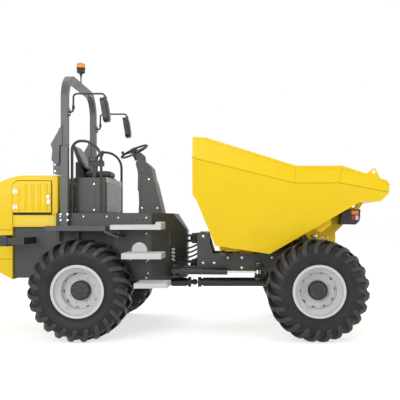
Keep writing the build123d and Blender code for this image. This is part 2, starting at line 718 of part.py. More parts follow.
def ramp_z(x):
    """Height of the outer face of the skip's sloping floor."""
    return ramp_foot[1] + (x - ramp_foot[0]) * (ramp_top[1] - ramp_foot[1]) / (ramp_top[0] - ramp_foot[0])


skip_side = [
    (235, 2354), (387, 2344), (1410, 2024), (1937, 2024), (2440, 1860), (half_length, 1821), (half_length, 1711),
    (2387, 1620), ramp_top, ramp_foot, (506, 1096), (482, 1096), (266, 1632), (222, 1700),
]
skip_floor_line = [
    (half_length - skip_wall, 2500), (half_length - skip_wall, 1715), (2383, 1630), (2149, 1622),
    (ramp_foot[0] - 4, ramp_foot[1] + 11), (488, 1106), (276, 1634), (235 + skip_wall, 1704), (235 + skip_wall, 2500),
]
fold_line = ((200, 2127), (1394, 1832), (1905, 1834), (half_length + 20, 1727))


def skip_section(x, fold_z, inset):
    """A cross section of the skip: upright band above the fold, walls leaning inward below it."""
    half = skip_y - inset
    low_y = half - taper * (fold_z - 900)
    return [(half, 2600), (half, fold_z), (low_y, 900), (-low_y, 900), (-half, fold_z), (-half, 2600)]


with BuildPart() as skip_cavity:
    for x, fold_z in fold_line:
        with BuildSketch(Plane(origin=(x, 0, 0), x_dir=(0, 1, 0), z_dir=(1, 0, 0))):
            Polygon(*skip_section(x, fold_z, skip_wall), align=None)
    loft(ruled=True)
    with BuildSketch(Plane.XZ.offset(skip_y)):
        Polygon(*skip_floor_line, align=None)
    extrude(amount=-2 * skip_y, mode=Mode.INTERSECT)

with BuildPart() as skip:
    for x, fold_z in fold_line:
        with BuildSketch(Plane(origin=(x, 0, 0), x_dir=(0, 1, 0), z_dir=(1, 0, 0))):
            Polygon(*skip_section(x, fold_z, 0), align=None)
    loft(ruled=True)
    with BuildSketch(Plane.XZ.offset(skip_y)):
        Polygon(*skip_side, align=None)
    extrude(amount=-2 * skip_y, mode=Mode.INTERSECT)
    add(skip_cavity.part, mode=Mode.SUBTRACT)
    side_plates([(1633, ramp_z(1633) + 4), (1728, 1256), (1848, 1345), (1848, ramp_z(1848) + 4)], 884, 12)
    for side in (-1, 1):
        with BuildSketch(Plane.XZ.offset(-side * (skip_y - 12))):
            with BuildLine():
                Polyline((2209, 1900), (2209, 1932), (2275, 1980))
                ThreePointArc((2275, 1980), (2300, 1992), (2325, 1975))
                Polyline((2325, 1975), (2369, 1880), (2369, 1850), (2209, 1900))
            make_face()
            with Locations((2298, 1953)):
                Circle(19, mode=Mode.SUBTRACT)
        extrude(amount=-side * 12)
save(skip, "skip")

with BuildPart() as skip_cradle:
    side_plates([(1560, ramp_z(1560)), ramp_top, (2311, 1616), (2250, 1528), (2062, 1349), (1963, 1250), (1963, 1130),
                 (1800, 1110), (1760, 1130), (1650, 1130), (1630, 1170)], cradle_y, 25)
    for side in (-1, 1):
        cross_bar(*skip_pivot, skip_pin_r + fit, sorted((side * (cradle_y - 1), side * (cradle_y + 26))), Mode.SUBTRACT)
        cross_bar(2187, 1583, 25, sorted((side * (cradle_y - 1), side * (cradle_y + 26))), Mode.SUBTRACT)
    block((1900, 1940), (-cradle_y - 1, cradle_y + 1), (1300, 1440))
save(skip_cradle, "skip_cradle")

floor_slope = (ramp_foot[1] - 1096) / (ramp_foot[0] - 506)


def floor_z(x):
    """Height of the underside of the skip's flat floor."""
    return 1096 + (x - 506) * floor_slope


with BuildPart() as skip_underframe:
    side_plate([(510, floor_z(510)), (760, floor_z(760)), (760, 1010), (520, 1010)], -420, 840)
    for side in (-1, 1):
        for y in (ram_y - 50, ram_y + 32):
            side_plate([(740, floor_z(740)), (1000, floor_z(1000)), (880, 940), (800, 940), (740, 1010)],
                       side * y - (18 if side < 0 else 0), 18)
    block((759, 900), (-ram_y - 50, ram_y + 50), (floor_z(900) - 12, floor_z(900)))
save(skip_underframe, "skip_underframe")


def build_headlamp(name, side):
    """A headlamp housing fixed to the outside of the skip's cradle plate."""
    y = sorted((side * 500, side * 720))
    with BuildPart() as lamp:
        side_plate([(1986, 1352), (2005, 1480), (2099, 1534), (2231, 1534), (2219, 1394), (2173, 1348)],
                   y[0], y[1] - y[0])
        block((2060, 2160), sorted((side * (cradle_y + 25), side * 505)), (1400, 1500))
    save(lamp, name)


build_headlamp("headlamp_left", 1)
build_headlamp("headlamp_right", -1)


# ---------------------------------------------------------------- cylinders
def ram_point(distance):
    """The XZ point on a tipping ram's axis at a distance from its foot."""
    lean = radians(ram_lean)
    return (ram_foot[0] - distance * cos(lean), ram_foot[1] + distance * sin(lean))


def build_tipping_ram(side_name, side):
    """A tipping ram: the barrel hinges on the front frame, the rod slides out of it towards the skip."""
    y = side * ram_y

    def at(distance):
        x, z = ram_point(distance)
        return (x, y, z)

    with BuildPart() as barrel:
        bar(at(60), at(ram_barrel_end), 50)
        bar(at(10), at(61), 26)
        cross_bar(*ram_foot, 40, (y - 26, y + 26))
        cross_bar(*ram_foot, 22 + fit, (y - 27, y + 27), Mode.SUBTRACT)
        bar(at(70), at(ram_barrel_end + 1), 25 + fit, Mode.SUBTRACT)
    save(barrel, f"tip_barrel_{side_name}")
    with BuildPart() as ram_rod:
        bar(at(90), at(ram_closed - 20), 25)
        cross_bar(*ram_point(ram_closed), 36, (y - 25, y + 25))
        cross_bar(*ram_point(ram_closed), 21, (y - 26, y + 26), Mode.SUBTRACT)
    save(ram_rod, f"tip_rod_{side_name}")


build_tipping_ram("left", 1)
build_tipping_ram("right", -1)


steer_rod_r = 20
steer_length = ((steer_front[0] - steer_rear[0]) ** 2 + (steer_front[1] - steer_rear[1]) ** 2) ** 0.5


def steer_at(distance, above=0):
    """A point on the steering cylinder's axis, or above it."""
    share = distance / steer_length
    x, z = (rear + (front - rear) * share for rear, front in zip(steer_rear, steer_front))
    return (x, steer_y, z + above)


with BuildPart() as steering_swivel:
    bar((steer_rear[0], steer_y, steer_rear[1] - 80), (steer_rear[0], steer_y, steer_rear[1] + 80), 20)
    block((steer_rear[0] - 28, steer_rear[0] + 28), (steer_y - 28, steer_y + 28), (steer_rear[1] - 30, steer_rear[1] + 30))
    cross_bar(*steer_rear, 18, (steer_y - 48, steer_y + 48))
save(steering_swivel, "steering_swivel")

with BuildPart() as steering_barrel:
    bar(steer_at(75), steer_at(steer_barrel_end), 42)
    bar(steer_at(120, 52), steer_at(steer_barrel_end - 10, 52), 12)
    for distance in (120, steer_barrel_end - 40):
        bar(steer_at(distance, 30), steer_at(distance, 52), 11)
    for y in (steer_y - 46, steer_y + 32):
        side_plate([(steer_rear[0] - 25, steer_rear[1] - 25), (steer_rear[0] - 25, steer_rear[1] + 25),
                    (steer_rear[0] + 90, steer_rear[1] + 25), (steer_rear[0] + 90, steer_rear[1] - 25)], y, 14)
    cross_bar(*steer_rear, 18 + fit, (steer_y - 50, steer_y + 50), Mode.SUBTRACT)
    bar(steer_at(110), steer_at(steer_barrel_end + 1), steer_rod_r + fit, Mode.SUBTRACT)
save(steering_barrel, "steering_barrel")

with BuildPart() as steering_rod:
    bar(steer_at(380), steer_at(steer_length - 20), steer_rod_r)
    bar((steer_front[0], steer_y, steer_front[1] - 22), (steer_front[0], steer_y, steer_front[1] + 22), 36)
    bar((steer_front[0], steer_y, steer_front[1] - 23), (steer_front[0], steer_y, steer_front[1] + 23), 21, Mode.SUBTRACT)
save(steering_rod, "steering_rod")
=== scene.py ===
"""Looks of an articulated site dumper: paints, rubber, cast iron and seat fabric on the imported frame, and
the fine pieces that lie on it.  Metres, origin on the ground: +X runs to the skip's nose, +Y to the driver's
left and +Z up."""

import json
import math

import bmesh
import bpy
import numpy as np
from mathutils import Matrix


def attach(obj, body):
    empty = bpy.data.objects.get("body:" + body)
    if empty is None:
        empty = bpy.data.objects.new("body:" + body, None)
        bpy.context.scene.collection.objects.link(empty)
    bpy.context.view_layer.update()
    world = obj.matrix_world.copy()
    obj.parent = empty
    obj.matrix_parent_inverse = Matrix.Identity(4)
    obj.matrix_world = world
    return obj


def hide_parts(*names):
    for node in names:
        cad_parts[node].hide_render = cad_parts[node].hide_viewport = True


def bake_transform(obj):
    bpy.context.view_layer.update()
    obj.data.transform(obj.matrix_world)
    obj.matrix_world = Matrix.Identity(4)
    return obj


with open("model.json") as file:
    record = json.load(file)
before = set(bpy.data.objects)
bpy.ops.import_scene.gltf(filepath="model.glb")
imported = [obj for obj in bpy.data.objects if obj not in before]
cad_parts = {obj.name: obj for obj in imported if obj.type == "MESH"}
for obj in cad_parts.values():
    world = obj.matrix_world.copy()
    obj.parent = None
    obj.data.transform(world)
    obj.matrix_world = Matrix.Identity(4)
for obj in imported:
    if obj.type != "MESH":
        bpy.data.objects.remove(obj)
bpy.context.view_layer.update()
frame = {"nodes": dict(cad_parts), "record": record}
nodes = frame["nodes"]


# ---------------------------------------------------------------- shader helpers
def linear(red, green, blue):
    """A colour written as 0-255 display values, turned into the linear values that a shader takes."""
    display = np.array([red, green, blue]) / 255
    low = display / 12.92
    high = ((display + 0.055) / 1.055) ** 2.4
    return tuple(np.where(display <= 0.04045, low, high)) + (1.0,)


def new_group(name, inputs, outputs):
    """A shader node group with float or colour sockets, given as {name: default}."""
    group = bpy.data.node_groups.new(name, "ShaderNodeTree")
    for direction, sockets in (("INPUT", inputs), ("OUTPUT", outputs)):
        for socket_name, default in sockets.items():
            kind = "NodeSocketColor" if isinstance(default, tuple) else "NodeSocketFloat"
            socket = group.interface.new_socket(socket_name, in_out=direction, socket_type=kind)
            socket.default_value = default
    return group, group.nodes.new("NodeGroupInput"), group.nodes.new("NodeGroupOutput")


def add_node(tree, kind, settings=None, **sockets):
    """A node with some of its settings and input values or links given."""
    node = tree.nodes.new(kind)
    for key, value in (settings or {}).items():
        setattr(node, key, value)
    for key, value in sockets.items():
        socket = node.inputs[key.replace("_", " ")]
        if isinstance(value, bpy.types.NodeSocket):
            tree.links.new(value, socket)
        else:
            socket.default_value = value
    return node


def noise(tree, place, scale, detail=2.0):
    """Noise in object space, as a socket of values about one half."""
    node = add_node(tree, "ShaderNodeTexNoise", Vector=place, Scale=scale, Detail=detail)
    return node.outputs["Fac"]


def spread(tree, value, low, high, to_low=0.0, to_high=1.0):
    """A value mapped from one range to another and held inside it."""
    node = add_node(tree, "ShaderNodeMapRange", Value=value)
    node.inputs["From Min"].default_value = low
    node.inputs["From Max"].default_value = high
    for key, bound in (("To Min", to_low), ("To Max", to_high)):
        if isinstance(bound, bpy.types.NodeSocket):
            tree.links.new(bound, node.inputs[key])
        else:
            node.inputs[key].default_value = bound
    return node.outputs["Result"]


def calculate(tree, operation, first, second):
    """One arithmetic step on two values."""
    node = tree.nodes.new("ShaderNodeMath")
    node.operation = operation
    for socket, value in zip(node.inputs, (first, second)):
        if isinstance(value, bpy.types.NodeSocket):
            tree.links.new(value, socket)
        else:
            socket.default_value = value
    return node.outputs[0]


def mix_colour(tree, factor, first, second, blend="MIX"):
    """Two colours mixed by a factor."""
    node = tree.nodes.new("ShaderNodeMix")
    node.data_type = "RGBA"
    node.blend_type = blend
    for index, value in ((0, factor), (6, first), (7, second)):
        if isinstance(value, bpy.types.NodeSocket):
            tree.links.new(value, node.inputs[index])
        else:
            node.inputs[index].default_value = value
    return node.outputs[2]


def finish_sockets(roughness):
    """The inputs and outputs that every finish group has."""
    grey = (0.5, 0.5, 0.5, 1.0)
    dust = (0.3, 0.27, 0.22, 1.0)
    inputs = {"Colour": grey, "Dust": dust, "Dust Amount": 0.05, "Roughness": roughness}
    return inputs, {"Colour": grey, "Roughness": roughness, "Height": 0.0}


def build_finish_group(name, blotch_scale, grain_scale, blotch_depth):
    """A painted, moulded or cast surface: broad tone changes, a fine grain, and dust that gathers with the broad
    tone changes.
    """
    group, given, result = new_group(name, *finish_sockets(0.4))
    place = add_node(group, "ShaderNodeTexCoord").outputs["Object"]
    blotch = noise(group, place, blotch_scale, 4.0)
    grain = noise(group, place, grain_scale, 3.0)
    tone = spread(group, blotch, 0.3, 0.7, 1 - blotch_depth, 1 + blotch_depth)
    toned = mix_colour(group, 1.0, given.outputs["Colour"], tone, "MULTIPLY")
    dusty = calculate(group, "MULTIPLY", spread(group, blotch, 0.4, 0.75), given.outputs["Dust Amount"])
    group.links.new(mix_colour(group, dusty, toned, given.outputs["Dust"]), result.inputs["Colour"])
    rough = calculate(group, "ADD", given.outputs["Roughness"], spread(group, blotch, 0.3, 0.7, -0.05, 0.07))
    group.links.new(rough, result.inputs["Roughness"])
    group.links.new(grain, result.inputs["Height"])
    return group


def build_woven_group():
    """A plain weave: two crossed waves of threads, raised where they add up, on a slightly uneven dye."""
    group, given, result = new_group("woven_surface", *finish_sockets(0.7))
    place = add_node(group, "ShaderNodeTexCoord").outputs["Object"]
    threads = []
    for direction in ("X", "Y", "Z"):
        wave = add_node(group, "ShaderNodeTexWave", {"bands_direction": direction},
                        Vector=place, Scale=95.0, Distortion=0.4)
        threads.append(wave.outputs["Fac"])
    crossed = calculate(group, "MULTIPLY", calculate(group, "MAXIMUM", threads[0], threads[2]), threads[1])
    dye = spread(group, noise(group, place, 14.0, 3.0), 0.3, 0.7, 0.90, 1.08)
    shade = calculate(group, "MULTIPLY", spread(group, crossed, 0.0, 1.0, 0.86, 1.06), dye)
    toned = mix_colour(group, 1.0, given.outputs["Colour"], shade, "MULTIPLY")
    dusty = calculate(group, "MULTIPLY", noise(group, place, 5.0), given.outputs["Dust Amount"])
    group.links.new(mix_colour(group, dusty, toned, given.outputs["Dust"]), result.inputs["Colour"])
    group.links.new(given.outputs["Roughness"], result.inputs["Roughness"])
    group.links.new(crossed, result.inputs["Height"])
    return group


paint_group = build_finish_group("painted_surface", 3.0, 260.0, 0.03)
cast_group = build_finish_group("cast_surface", 9.0, 420.0, 0.14)
plastic_group = build_finish_group("moulded_surface", 6.0, 900.0, 0.05)
woven_group = build_woven_group()


def make_material(name, group, colour, roughness, dust=0.05, bump=0.0003, metallic=0.0, coat=0.0, specular=0.5):
    """A material whose colour, roughness and bump come from a finish group."""
    material = bpy.data.materials.new(name)
    material.use_nodes = True
    tree = material.node_tree
    shader = tree.nodes["Principled BSDF"]
    finish = tree.nodes.new("ShaderNodeGroup")
    finish.node_tree = group
    finish.inputs["Colour"].default_value = colour
    finish.inputs["Dust Amount"].default_value = dust
    finish.inputs["Roughness"].default_value = roughness
    tree.links.new(finish.outputs["Colour"], shader.inputs["Base Color"])
    tree.links.new(finish.outputs["Roughness"], shader.inputs["Roughness"])
    relief = add_node(tree, "ShaderNodeBump", Strength=1.0, Distance=bump, Height=finish.outputs["Height"])
    tree.links.new(relief.outputs["Normal"], shader.inputs["Normal"])
    shader.inputs["Metallic"].default_value = metallic
    shader.inputs["Coat Weight"].default_value = coat
    shader.inputs["Specular IOR Level"].default_value = specular
    return material


def make_tyre_material():
    """Rubber that is paler and smoother on the lugs' outer faces, by the tyre mesh's own per-point values: a
    painted highlight on the lugs.
    """
    material = make_material("tyre_rubber", cast_group, linear(31, 31, 32), 0.46, 0.03, 0.0005, specular=0.25)
    tree = material.node_tree
    shader = tree.nodes["Principled BSDF"]
    highlighted = add_node(tree, "ShaderNodeAttribute", {"attribute_name": "lug_highlight"}).outputs["Fac"]
    colour = shader.inputs["Base Color"].links[0].from_socket
    rough = shader.inputs["Roughness"].links[0].from_socket
    # the lugs' outer faces are painted paler: a painted highlight
    paler = mix_colour(tree, calculate(tree, "MULTIPLY", highlighted, 0.75), colour, linear(66, 66, 67))
    tree.links.new(paler, shader.inputs["Base Color"])
    smoother = calculate(tree, "SUBTRACT", rough, calculate(tree, "MULTIPLY", highlighted, 0.08))
    tree.links.new(smoother, shader.inputs["Roughness"])
    return material


def make_punched_material():
    """Pale sheet with rows of dark round holes: each hole is a spot about the middle of a square cell."""
    material = make_material("punched_sheet", paint_group, linear(168, 170, 170), 0.42, 0.04, 0.0002)
    tree = material.node_tree
    shader = tree.nodes["Principled BSDF"]
    place = add_node(tree, "ShaderNodeTexCoord").outputs["Object"]
    parts = add_node(tree, "ShaderNodeSeparateXYZ", Vector=place)
    squares = []
    for axis in ("Y", "Z"):
        cell = calculate(tree, "FRACT", calculate(tree, "MULTIPLY", parts.outputs[axis], 38.0), 0.0)
        offset = calculate(tree, "ABSOLUTE", calculate(tree, "SUBTRACT", cell, 0.5), 0.0)
        squares.append(calculate(tree, "POWER", offset, 2.0))
    distance = calculate(tree, "SQRT", calculate(tree, "ADD", squares[0], squares[1]), 0.0)
    hole = spread(tree, distance, 0.22, 0.27, 1.0, 0.0)
    colour = shader.inputs["Base Color"].links[0].from_socket
    tree.links.new(mix_colour(tree, hole, colour, linear(24, 24, 25)), shader.inputs["Base Color"])
    return material


yellow_paint = make_material("yellow_paint", paint_group, linear(246, 209, 18), 0.36, 0.02, 0.00012,
                             coat=0.08, specular=0.25)
# a darker yellow for the weld lines, and for a painted shadow line under the skip's fold
yellow_seam_and_shadow = make_material("yellow_in_seams_and_painted_shadow", paint_group, linear(196, 164, 14), 0.5, 0.1, 0.0002)
grey_paint = make_material("dark_grey_paint", paint_group, linear(76, 78, 77), 0.40, 0.04, 0.0002, specular=0.3)
bar_paint = make_material("roll_bar_paint", paint_group, linear(92, 95, 95), 0.38, 0.03, 0.0002, specular=0.35)
black_paint = make_material("black_paint", cast_group, linear(36, 36, 37), 0.42, 0.05, 0.0004)
rim_paint = make_material("rim_paint", paint_group, linear(206, 207, 208), 0.36, 0.03, 0.0002)
step_paint = make_material("step_paint", paint_group, linear(200, 202, 203), 0.42, 0.05, 0.0002)
black_plastic = make_material("black_plastic", plastic_group, linear(30, 30, 31), 0.45, 0.04, 0.0002)
light_plastic = make_material("light_plastic", plastic_group, linear(196, 197, 196), 0.45, 0.03, 0.0002)
hose_rubber = make_material("hose_rubber", plastic_group, linear(26, 26, 27), 0.55, 0.05, 0.0003)
seat_fabric = make_material("seat_fabric", woven_group, linear(70, 72, 74), 0.78, 0.04, 0.0006)
seat_light = make_material("seat_light_cover", woven_group, linear(150, 152, 153), 0.72, 0.04, 0.0006)
chrome_rod = make_material("chrome_rod", paint_group, linear(214, 216, 218), 0.12, 0.0, 0.00003, metallic=1.0)
mirror_glass = make_material("mirror_glass", paint_group, linear(205, 210, 214), 0.06, 0.0, 0.00001, metallic=1.0)
bright_steel = make_material("bright_steel", cast_group, linear(198, 199, 200), 0.3, 0.03, 0.0001, metallic=0.85)
orange_lens = make_material("orange_lens", plastic_group, linear(243, 148, 18), 0.16, 0.0, 0.00004, coat=0.5)
red_lens = make_material("red_lens", plastic_group, linear(178, 24, 22), 0.16, 0.0, 0.00004, coat=0.5)
clear_lens = make_material("clear_lens", plastic_group, linear(222, 226, 228), 0.08, 0.0, 0.00003, coat=0.8)
white_disc = make_material("white_disc", paint_group, linear(240, 240, 238), 0.3, 0.01, 0.00005)
pale_panel = make_material("pale_panel", paint_group, linear(244, 212, 40), 0.3, 0.02, 0.00005)
engine_iron = make_material("engine_iron", cast_group, linear(78, 80, 82), 0.6, 0.15, 0.0008)
tyre_rubber = make_tyre_material()
punched_panel = make_punched_material()

slot_materials = {
    "body_yellow": yellow_paint, "chassis_grey": grey_paint, "rops_grey": bar_paint, "axle_black": black_paint,
    "rim_grey": rim_paint, "tyre_rubber": tyre_rubber, "step_metal": step_paint, "black_plastic": black_plastic,
    "seat_fabric": seat_fabric, "chrome_rod": chrome_rod, "beacon_orange": orange_lens,
    "disc_white": white_disc, "engine_grey": engine_iron,
}
for part in frame["record"]["subparts"]:
    for material_slot in nodes[part["node"]].material_slots:
        material_slot.material = slot_materials[part["material_slot"]]


# ---------------------------------------------------------------- mesh helpers
def unit(vectors):
    """Vectors scaled to length one along the last axis."""
    return vectors / np.linalg.norm(vectors, axis=-1, keepdims=True)


def ring_shell(grid, capped=True):
    """Skins over rows of closed rings, for one or many grids; open ends are drawn to their ring's middle."""
    grid = grid.reshape((-1,) + grid.shape[-3:])
    if capped:
        middles = grid[:, [0, -1]].mean(axis=2, keepdims=True)
        ends = np.broadcast_to(middles, (len(grid), 2, grid.shape[2], 3))
        grid = np.concatenate([ends[:, :1], grid, ends[:, 1:]], axis=1)
    count, rows, columns, _ = grid.shape
    row, column = np.meshgrid(np.arange(rows - 1) * columns, np.arange(columns), indexing="ij")
    beside = (column + 1) % columns
    quads = np.stack([row + column, row + beside, row + columns + beside, row + columns + column], axis=-1)
    numbered = quads.reshape(1, -1, 4) + (rows * columns * np.arange(count))[:, None, None]
    return grid.reshape(-1, 3), numbered.reshape(-1, 4)


def joined(*shells):
    """Several shells as one, the faces of each numbered on past the points before it."""
    starts = np.cumsum([0] + [len(points) for points, _ in shells[:-1]])
    quads = [faces + start for (_, faces), start in zip(shells, starts)]
    return np.concatenate([points for points, _ in shells]), np.concatenate(quads)


def copies(shell, places):
    """The same shell moved to each place."""
    points, quads = shell
    places = np.asarray(places, float).reshape(-1, 3)
    numbered = quads[None] + len(points) * np.arange(len(places))[:, None, None]
    return (places[:, None] + points[None]).reshape(-1, 3), numbered.reshape(-1, 4)


def both_sides(shell):
    """A shell and its mirror image across the middle plane."""
    points, quads = shell
    return joined(shell, (points * (1, -1, 1), quads[:, ::-1]))


def smooth_path(points, count):
    """A curve through the given points, cubic between neighbours, sloped as the chord across each point."""
    points = np.asarray(points, float)
    padded = np.concatenate([2 * points[:1] - points[1:2], points, 2 * points[-1:] - points[-2:-1]])
    place = np.linspace(0, len(points) - 1 - 1e-9, count)
    index = place.astype(int)
    t = (place - index)[:, None]
    before, start, end, after = (padded[index + step] for step in range(4))
    bend = (end - before) * t + (2 * before - 5 * start + 4 * end - after) * t**2
    return 0.5 * (2 * start + bend + (3 * start - before - 3 * end + after) * t**3)


def rounded(corners, radius, steps=5):
    """An outline whose corners become parabolic bends between the points a radius away along both edges."""
    corners = np.asarray(corners, float)
    start = corners + radius * unit(np.roll(corners, 1, axis=0) - corners)
    end = corners + radius * unit(np.roll(corners, -1, axis=0) - corners)
    t = np.linspace(0, 1, steps)[None, :, None]
    bends = (1 - t) ** 2 * start[:, None] + 2 * t * (1 - t) * corners[:, None] + t**2 * end[:, None]
    return bends.reshape(-1, 2)


def rectangle(first, second, radius):
    """A rectangle's rounded outline from its two (low, high) ranges."""
    (left, right), (low, high) = first, second
    return rounded([(left, low), (right, low), (right, high), (left, high)], radius)


plane_axes = {"xz": (0, 2, 1), "yz": (1, 2, 0), "xy": (0, 1, 2)}


def plate_shell(outline, plane, low, high, chamfer=0.001):
    """A plate with its outline in a plane, from low to high on the third axis, with eased edges."""
    outline = np.asarray(outline, float)
    eased = outline + chamfer * unit(outline.mean(axis=0) - outline)
    step = math.copysign(chamfer, high - low)
    grid = np.empty((4, len(outline), 3))
    first, second, third = plane_axes[plane]
    grid[:, :, [first, second]] = np.stack([eased, outline, outline, eased])
    grid[:, :, third] = np.array([low, low + step, high - step, high])[:, None]
    return ring_shell(grid)


def lathe_shell(profile, origin, axis, steps=32, hollow=False):
    """A profile of (along, radius) pairs turned about an axis; a hollow one closes on itself."""
    profile = np.asarray(list(profile) + list(profile[:1]) * hollow, float)
    along, radius = profile.T[:, :, None, None]
    axis = unit(np.asarray(axis, float))
    first = unit(np.cross(axis, (0.31, 0.17, 0.93)))
    turn = np.linspace(0, 2 * math.pi, steps, endpoint=False)[:, None]
    spokes = np.cos(turn) * first + np.sin(turn) * np.cross(axis, first)
    return ring_shell(np.asarray(origin, float) + along * axis + radius * spokes, capped=not hollow)


def tube_shell(path, radius, sides=12, up=(0.0, 0.0, 1.0)):
    """A round tube: at each place along the path a ring lies square to the path's direction."""
    path = np.asarray(path, float)
    forward = unit(np.gradient(path, axis=0))
    across = unit(np.cross(forward, up))
    over = np.cross(across, forward)
    turn = np.linspace(0, 2 * math.pi, sides, endpoint=False)[:, None]
    ring = np.cos(turn) * across[:, None] + np.sin(turn) * over[:, None]
    return ring_shell(path[:, None] + np.broadcast_to(radius, len(path))[:, None, None] * ring)


def bolt_shells(places, normal, radius=0.009):
    """Hexagon bolt heads on washers: two profiles turned about the normal, the head's in six steps."""
    washer = lathe_shell([(0, radius * 1.5), (0.002, radius * 1.5), (0.0025, radius * 1.4)], (0, 0, 0), normal, 18)
    head_profile = [(0.002, radius), (radius, radius), (radius * 1.15, radius * 0.85)]
    head = lathe_shell(head_profile, (0, 0, 0), normal, 6)
    return copies(joined(washer, head), places)


def make_piece(name, shell, material, body, lug_highlight=None):
    """Puts a shell into a mesh, closes its seams, turns its faces outwards and hangs it on its body, if any."""
    points, quads = shell
    mesh = bpy.data.meshes.new(name)
    mesh.from_pydata(points.tolist(), [], quads.tolist())
    # per-point values for the tyre's painted highlight on its lug faces
    if lug_highlight is not None:
        mesh.attributes.new("lug_highlight", "FLOAT", "POINT").data.foreach_set("value", lug_highlight.ravel())
    work = bmesh.new()
    work.from_mesh(mesh)
    bmesh.ops.remove_doubles(work, verts=work.verts, dist=1e-5)
    bmesh.ops.dissolve_degenerate(work, edges=work.edges, dist=1e-6)
    bmesh.ops.recalc_face_normals(work, faces=work.faces)
    work.to_mesh(mesh)
    work.free()
    mesh.shade_smooth()
    mesh.set_sharp_from_angle(angle=0.6)
    mesh.materials.append(material)
    piece = bpy.data.objects.new(name, mesh)
    bpy.context.collection.objects.link(piece)
    if body:
        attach(piece, body)
    return piece


# ---------------------------------------------------------------- wheels
axle_places = {"rear": -1.072, "front": 1.675}
axle_height = 0.59
side_signs = {"left": 1, "right": -1}
lug_count = 23


def tyre_shell(axle_x, side):
    """A tyre and a painted highlight on its lugs' outer faces: the closed section is carried round the axle, and
    the lugs stand on it.

    The section is a smooth curve from bead to crown with low rings on its sidewall.  A lug is a row of rings
    along the line from the crown over the shoulder: each ring is a chamfered trapezoid, shifted round the tyre
    in step with its distance from the middle, so that the two staggered rows form a V."""
    keys = [
        (0.200, 0.286), (0.204, 0.302), (0.214, 0.318), (0.229, 0.342), (0.238, 0.372), (0.242, 0.402),
        (0.241, 0.432), (0.234, 0.460), (0.220, 0.488), (0.199, 0.514), (0.168, 0.533), (0.125, 0.543),
        (0.060, 0.547), (0.0, 0.548),
    ]
    half = smooth_path(keys, 84)
    ridges = np.array([0.336, 0.352, 0.412, 0.424])[:, None]
    half[:, 0] += 0.0026 * np.exp(-(((half[:, 1] - ridges) / 0.0035) ** 2)).sum(axis=0) * (half[:, 0] > 0.21)
    section = np.concatenate([half, half[-2::-1] * (-1, 1), half[:1]])
    turn = np.linspace(0, 2 * math.pi, 6 * lug_count, endpoint=False)
    carcass = np.stack(
        np.broadcast_arrays(
            axle_x + section[:, 1:] * np.sin(turn), section[:, :1] * np.ones_like(turn),
            axle_height + section[:, 1:] * np.cos(turn),
        ),
        axis=-1,
    )
    outer = smooth_path(
        [(-0.024, 0.587), (0.05, 0.590), (0.11, 0.590), (0.152, 0.585), (0.188, 0.571), (0.216, 0.546),
         (0.235, 0.513), (0.244, 0.480), (0.247, 0.452), (0.243, 0.434)], 15)
    inner = smooth_path(
        [(-0.020, 0.538), (0.05, 0.538), (0.10, 0.535), (0.140, 0.530), (0.168, 0.520), (0.193, 0.502),
         (0.212, 0.480), (0.224, 0.460), (0.230, 0.445), (0.232, 0.436)], 15)
    half_width = np.interp(np.arange(15), [0, 5, 9, 12, 14], [0.019, 0.023, 0.027, 0.026, 0.018])[:, None]
    share = np.array([-1.34, -1.10, -1.0, -0.78, 0.78, 1.0, 1.10, 1.34])
    depth = np.array([0.0, 0.72, 0.93, 1.0, 1.0, 0.93, 0.72, 0.0])[:, None]
    place = inner[:, None] * (1 - depth) + outer[:, None] * depth
    shift = half_width * share - place[..., 0] * math.tan(math.radians(24))
    start = np.arange(2 * lug_count) * math.pi / lug_count
    row_side = np.where(np.arange(2 * lug_count) % 2, -1, 1)[:, None, None]
    angle = start[:, None, None] + (shift / np.maximum(place[..., 1], 0.44))[None]
    lugs = np.stack(
        np.broadcast_arrays(
            axle_x + place[..., 1] * np.sin(angle), row_side * place[..., 0],
            axle_height + place[..., 1] * np.cos(angle)
        ),
        axis=-1,
    )
    shell = joined(ring_shell(carcass, capped=False), ring_shell(lugs))
    highlighted = np.zeros((2 * lug_count, 17, 8))
    # the lugs' outer faces carry the painted highlight
    highlighted[:, 1:-1, 2:6] = 1.0
    lug_highlight = np.concatenate([np.zeros(carcass.size // 3), highlighted.ravel()])
    return (shell[0] + (0, side * 0.995, 0), shell[1]), lug_highlight


def cap_shell(axle_x, side):
    """A hub cap's relief: a disc whose height follows six waves that lag with the radius, like a fan."""
    radius = np.concatenate([np.linspace(0.012, 0.093, 28), [0.0965, 0.0975]])[:, None]
    turn = np.linspace(0, 2 * math.pi, 240, endpoint=False)
    wave = 0.5 + 0.5 * np.tanh(3.0 * np.sin(6 * turn - 46 * radius * side))
    band = np.clip((radius - 0.022) / 0.008, 0, 1) * np.clip((0.090 - radius) / 0.004, 0, 1)
    height = 0.0015 + 0.0055 * wave * band
    height[-1] = -0.001
    return ring_shell(
        np.stack(
            [axle_x + radius * np.sin(turn), side * (1.075 + height), axle_height + radius * np.cos(turn)],
            axis=-1
        )
    )


